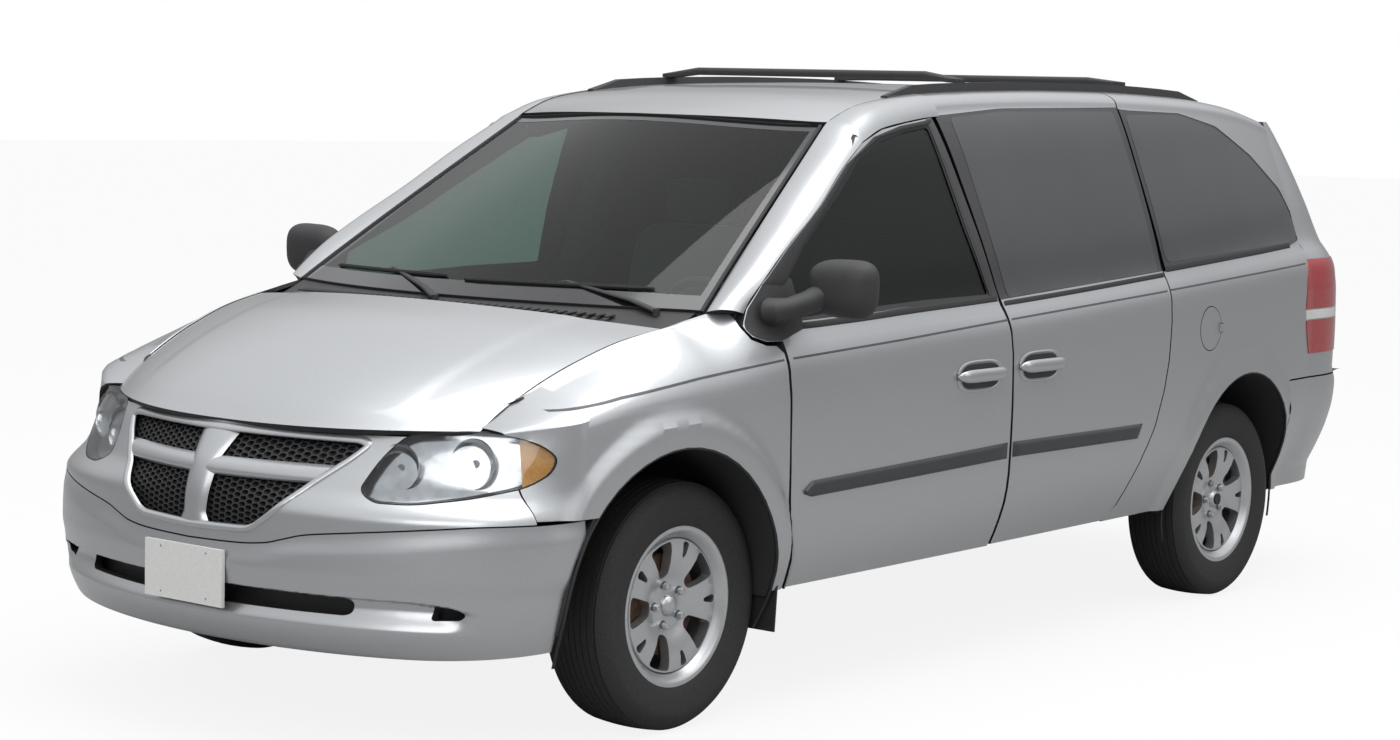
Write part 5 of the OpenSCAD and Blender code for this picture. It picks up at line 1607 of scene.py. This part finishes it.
garnish("liftgate_handle", 330, 1068, 1122, 22, paint, "liftgate")
garnish("liftgate_pull", 130, 1040, 1066, 3, black_plastic, "liftgate")
garnish("rear_plate", 152, 880, 1000, 5, white_plate, "liftgate")
garnish("rear_stop_lamp", 170, 1664, 1684, 6, red, "liftgate")

# ---- wheels ----
# Cast alloy wheels with five broad spokes that fork near the rim, on 16-inch tyres with ribbed
# tread. A rust-brown brake shows behind the openings, and five nuts hold each wheel.


def lathe(name, profile, centre, side, steps, materials):
    """A profile of (radius, outward) in millimetres, spun about the wheel's axle."""
    def shape(u, v):
        r, out = along(profile, v)
        t = u * 2 * pi * side
        return centre[0] + r * np.cos(t), centre[1] + side * out, centre[2] + r * np.sin(t)
    return edit_all(skin(name, steps, len(profile) - 1, shape, materials), weld(0.00005))


tyre_black = speckled("tyre rubber", (0.014, 0.014, 0.014), (0.028, 0.028, 0.028), 220.0, 0.72, 0.35)
alloy = speckled("cast alloy", (0.50, 0.51, 0.52), (0.60, 0.61, 0.62), 500.0, 0.32, 0.08, metallic=0.85,
                 coat=0.4)
low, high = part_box("front_left_tyre")
AXLE_Z = (low.z + high.z) / 2 * 1000
TYRE_R = (high.z - low.z) / 2 * 1000
TYRE_MID = (low.y + high.y) / 2 * 1000
HALF = (high.y - low.y) / 2 * 1000
low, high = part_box("front_left_rim")
RIM_R = (high.z - low.z) / 2 * 1000
STUD_R = 57.15


def tyre_profile():
    r, h = TYRE_R, HALF
    tread = []
    for k in range(-4, 4):
        a, b = k * h * 0.19 + 2.6, (k + 1) * h * 0.19 - 2.6
        for w, drop in ((a - 2.4, 7), (a - 1.0, 0), (b + 1.0, 0), (b + 2.4, 7)):
            tread.append((r - 5.5 * (w / (h * 0.8)) ** 2 - drop, w))
    left = [(200, -h + 26), (RIM_R + 4, -h + 12), (RIM_R + 12, -h + 9), (RIM_R + 40, -h + 1), (r - 55, -h),
            (r - 48, -h - 0.5),
            (r - 30, -h + 5), (r - 14, -h + 15), (r - 8, -h + 22)]
    return left + tread + [(q, -w) for q, w in reversed(left)]


def spoke_opening(k, inner, outer, half_in, half_out, turn):
    a = radians(72 * k + turn)
    flat = rounded([(inner, -half_in), (outer, -half_out), (outer + 5, 0), (outer, half_out),
                    (inner, half_in), (inner - 5, 0)], 16, 5)
    return [(p * cos(a) - q * sin(a), AXLE_Z + p * sin(a) + q * cos(a)) for p, q in flat]


tyre = lathe("front_left_tyre_ribbed", tyre_profile(), (0, TYRE_MID, AXLE_Z), 1, 140, (tyre_black,))
FACE = [(187, 38), (187, 66), (182, 74), (150, 76), (118, 72), (90, 64), (74, 58), (60, 55), (40, 56),
        (34, 58), (0.01, 60)]
BACK = [(0.01, 30), (60, 28), (100, 38), (150, 46), (187, 38)]
disc = lathe("disc", FACE + BACK, (0, TYRE_MID, AXLE_Z), 1, 120, (alloy, alloy))
for k in range(5):
    cut(disc, prism(spoke_opening(k, 86, 174, 18, 46, 36), "Y", TYRE_MID - 20, TYRE_MID + 140))
    cut(disc, prism(spoke_opening(k, 138, 175, 6, 13, 0), "Y", TYRE_MID - 20, TYRE_MID + 140))
    a = radians(72 * k + 36)
    pocket = arch((STUD_R * cos(a), AXLE_Z + STUD_R * sin(a), 14, 14), 0, 24)
    cut(disc, prism(pocket, "Y", TYRE_MID + 48, TYRE_MID + 140))
apply_modifier(disc, "BEVEL", width=0.0035, segments=3, limit_method="ANGLE", angle_limit=radians(50))
barrel = lathe("barrel", [(187, 30), (186, -60), (190, -88), (218, -88), (220, -82), (204, -78), (200, -40),
                          (198, 60), (205, 78),
                          (219, 82), (222, 88), (220, 93), (213, 94), (204, 90), (196, 80), (187, 70),
                          (187, 30)],
               (0, TYRE_MID, AXLE_Z), 1, 120, (alloy, alloy))
cap = lathe("cap", [(0.01, 76), (12, 75), (22, 72), (29, 66), (31, 60), (32, 54)], (0, TYRE_MID, AXLE_Z), 1,
            40, (alloy, alloy))
wheel = [disc, barrel, cap]
for k in range(5):
    a = radians(72 * k + 36)
    deselect()
    at = place(STUD_R * cos(a), TYRE_MID + 62, AXLE_Z + STUD_R * sin(a))
    bpy.ops.mesh.primitive_cylinder_add(vertices=6, radius=0.0105, depth=0.024, rotation=(pi / 2, 0, 0),
                                        location=tuple(at))
    bpy.ops.object.transform_apply(location=True, rotation=True, scale=True)
    nut = bpy.context.object
    apply_modifier(nut, "BEVEL", width=0.002, segments=2)
    nut.data.materials.append(alloy)
    wheel.append(nut)
wheel = join(wheel)
wheel.name = "front_left_alloy"
brake = lathe("brake", [(40, 34), (138, 34), (141, 30), (141, 6), (60, 4), (40, 34)], (0, TYRE_MID, AXLE_Z),
              1, 60, (rust,))


def placed(piece, name, s, side, body, nodes, angle=40):
    """A copy of a piece modelled at s = 0 on the left, put at a wheel."""
    copy = edit_all(copy_of(piece, name), (bpy.ops.transform.translate, {"value": (-s / 1000, 0, 0)}),
                    *((SWAP_SIDES, FLIP) if side < 0 else ()))
    return fit(copy, body, (), nodes, angle)


for corner_name, s, side, hub in (("front_left", 0, 1, "left_knuckle"),
                                  ("front_right", 0, -1, "right_knuckle"),
                                  ("rear_left", 3030, 1, "body"), ("rear_right", 3030, -1, "body")):
    placed(tyre, corner_name + "_tyre_ribbed", s, side, corner_name + "_wheel", (corner_name + "_tyre",), 28)
    placed(wheel, corner_name + "_alloy", s, side, corner_name + "_wheel", (corner_name + "_rim",))
    placed(brake, corner_name + "_brake", s, side, hub, ())
for spare in (tyre, wheel, brake):
    bpy.data.objects.remove(spare, do_unlink=True)
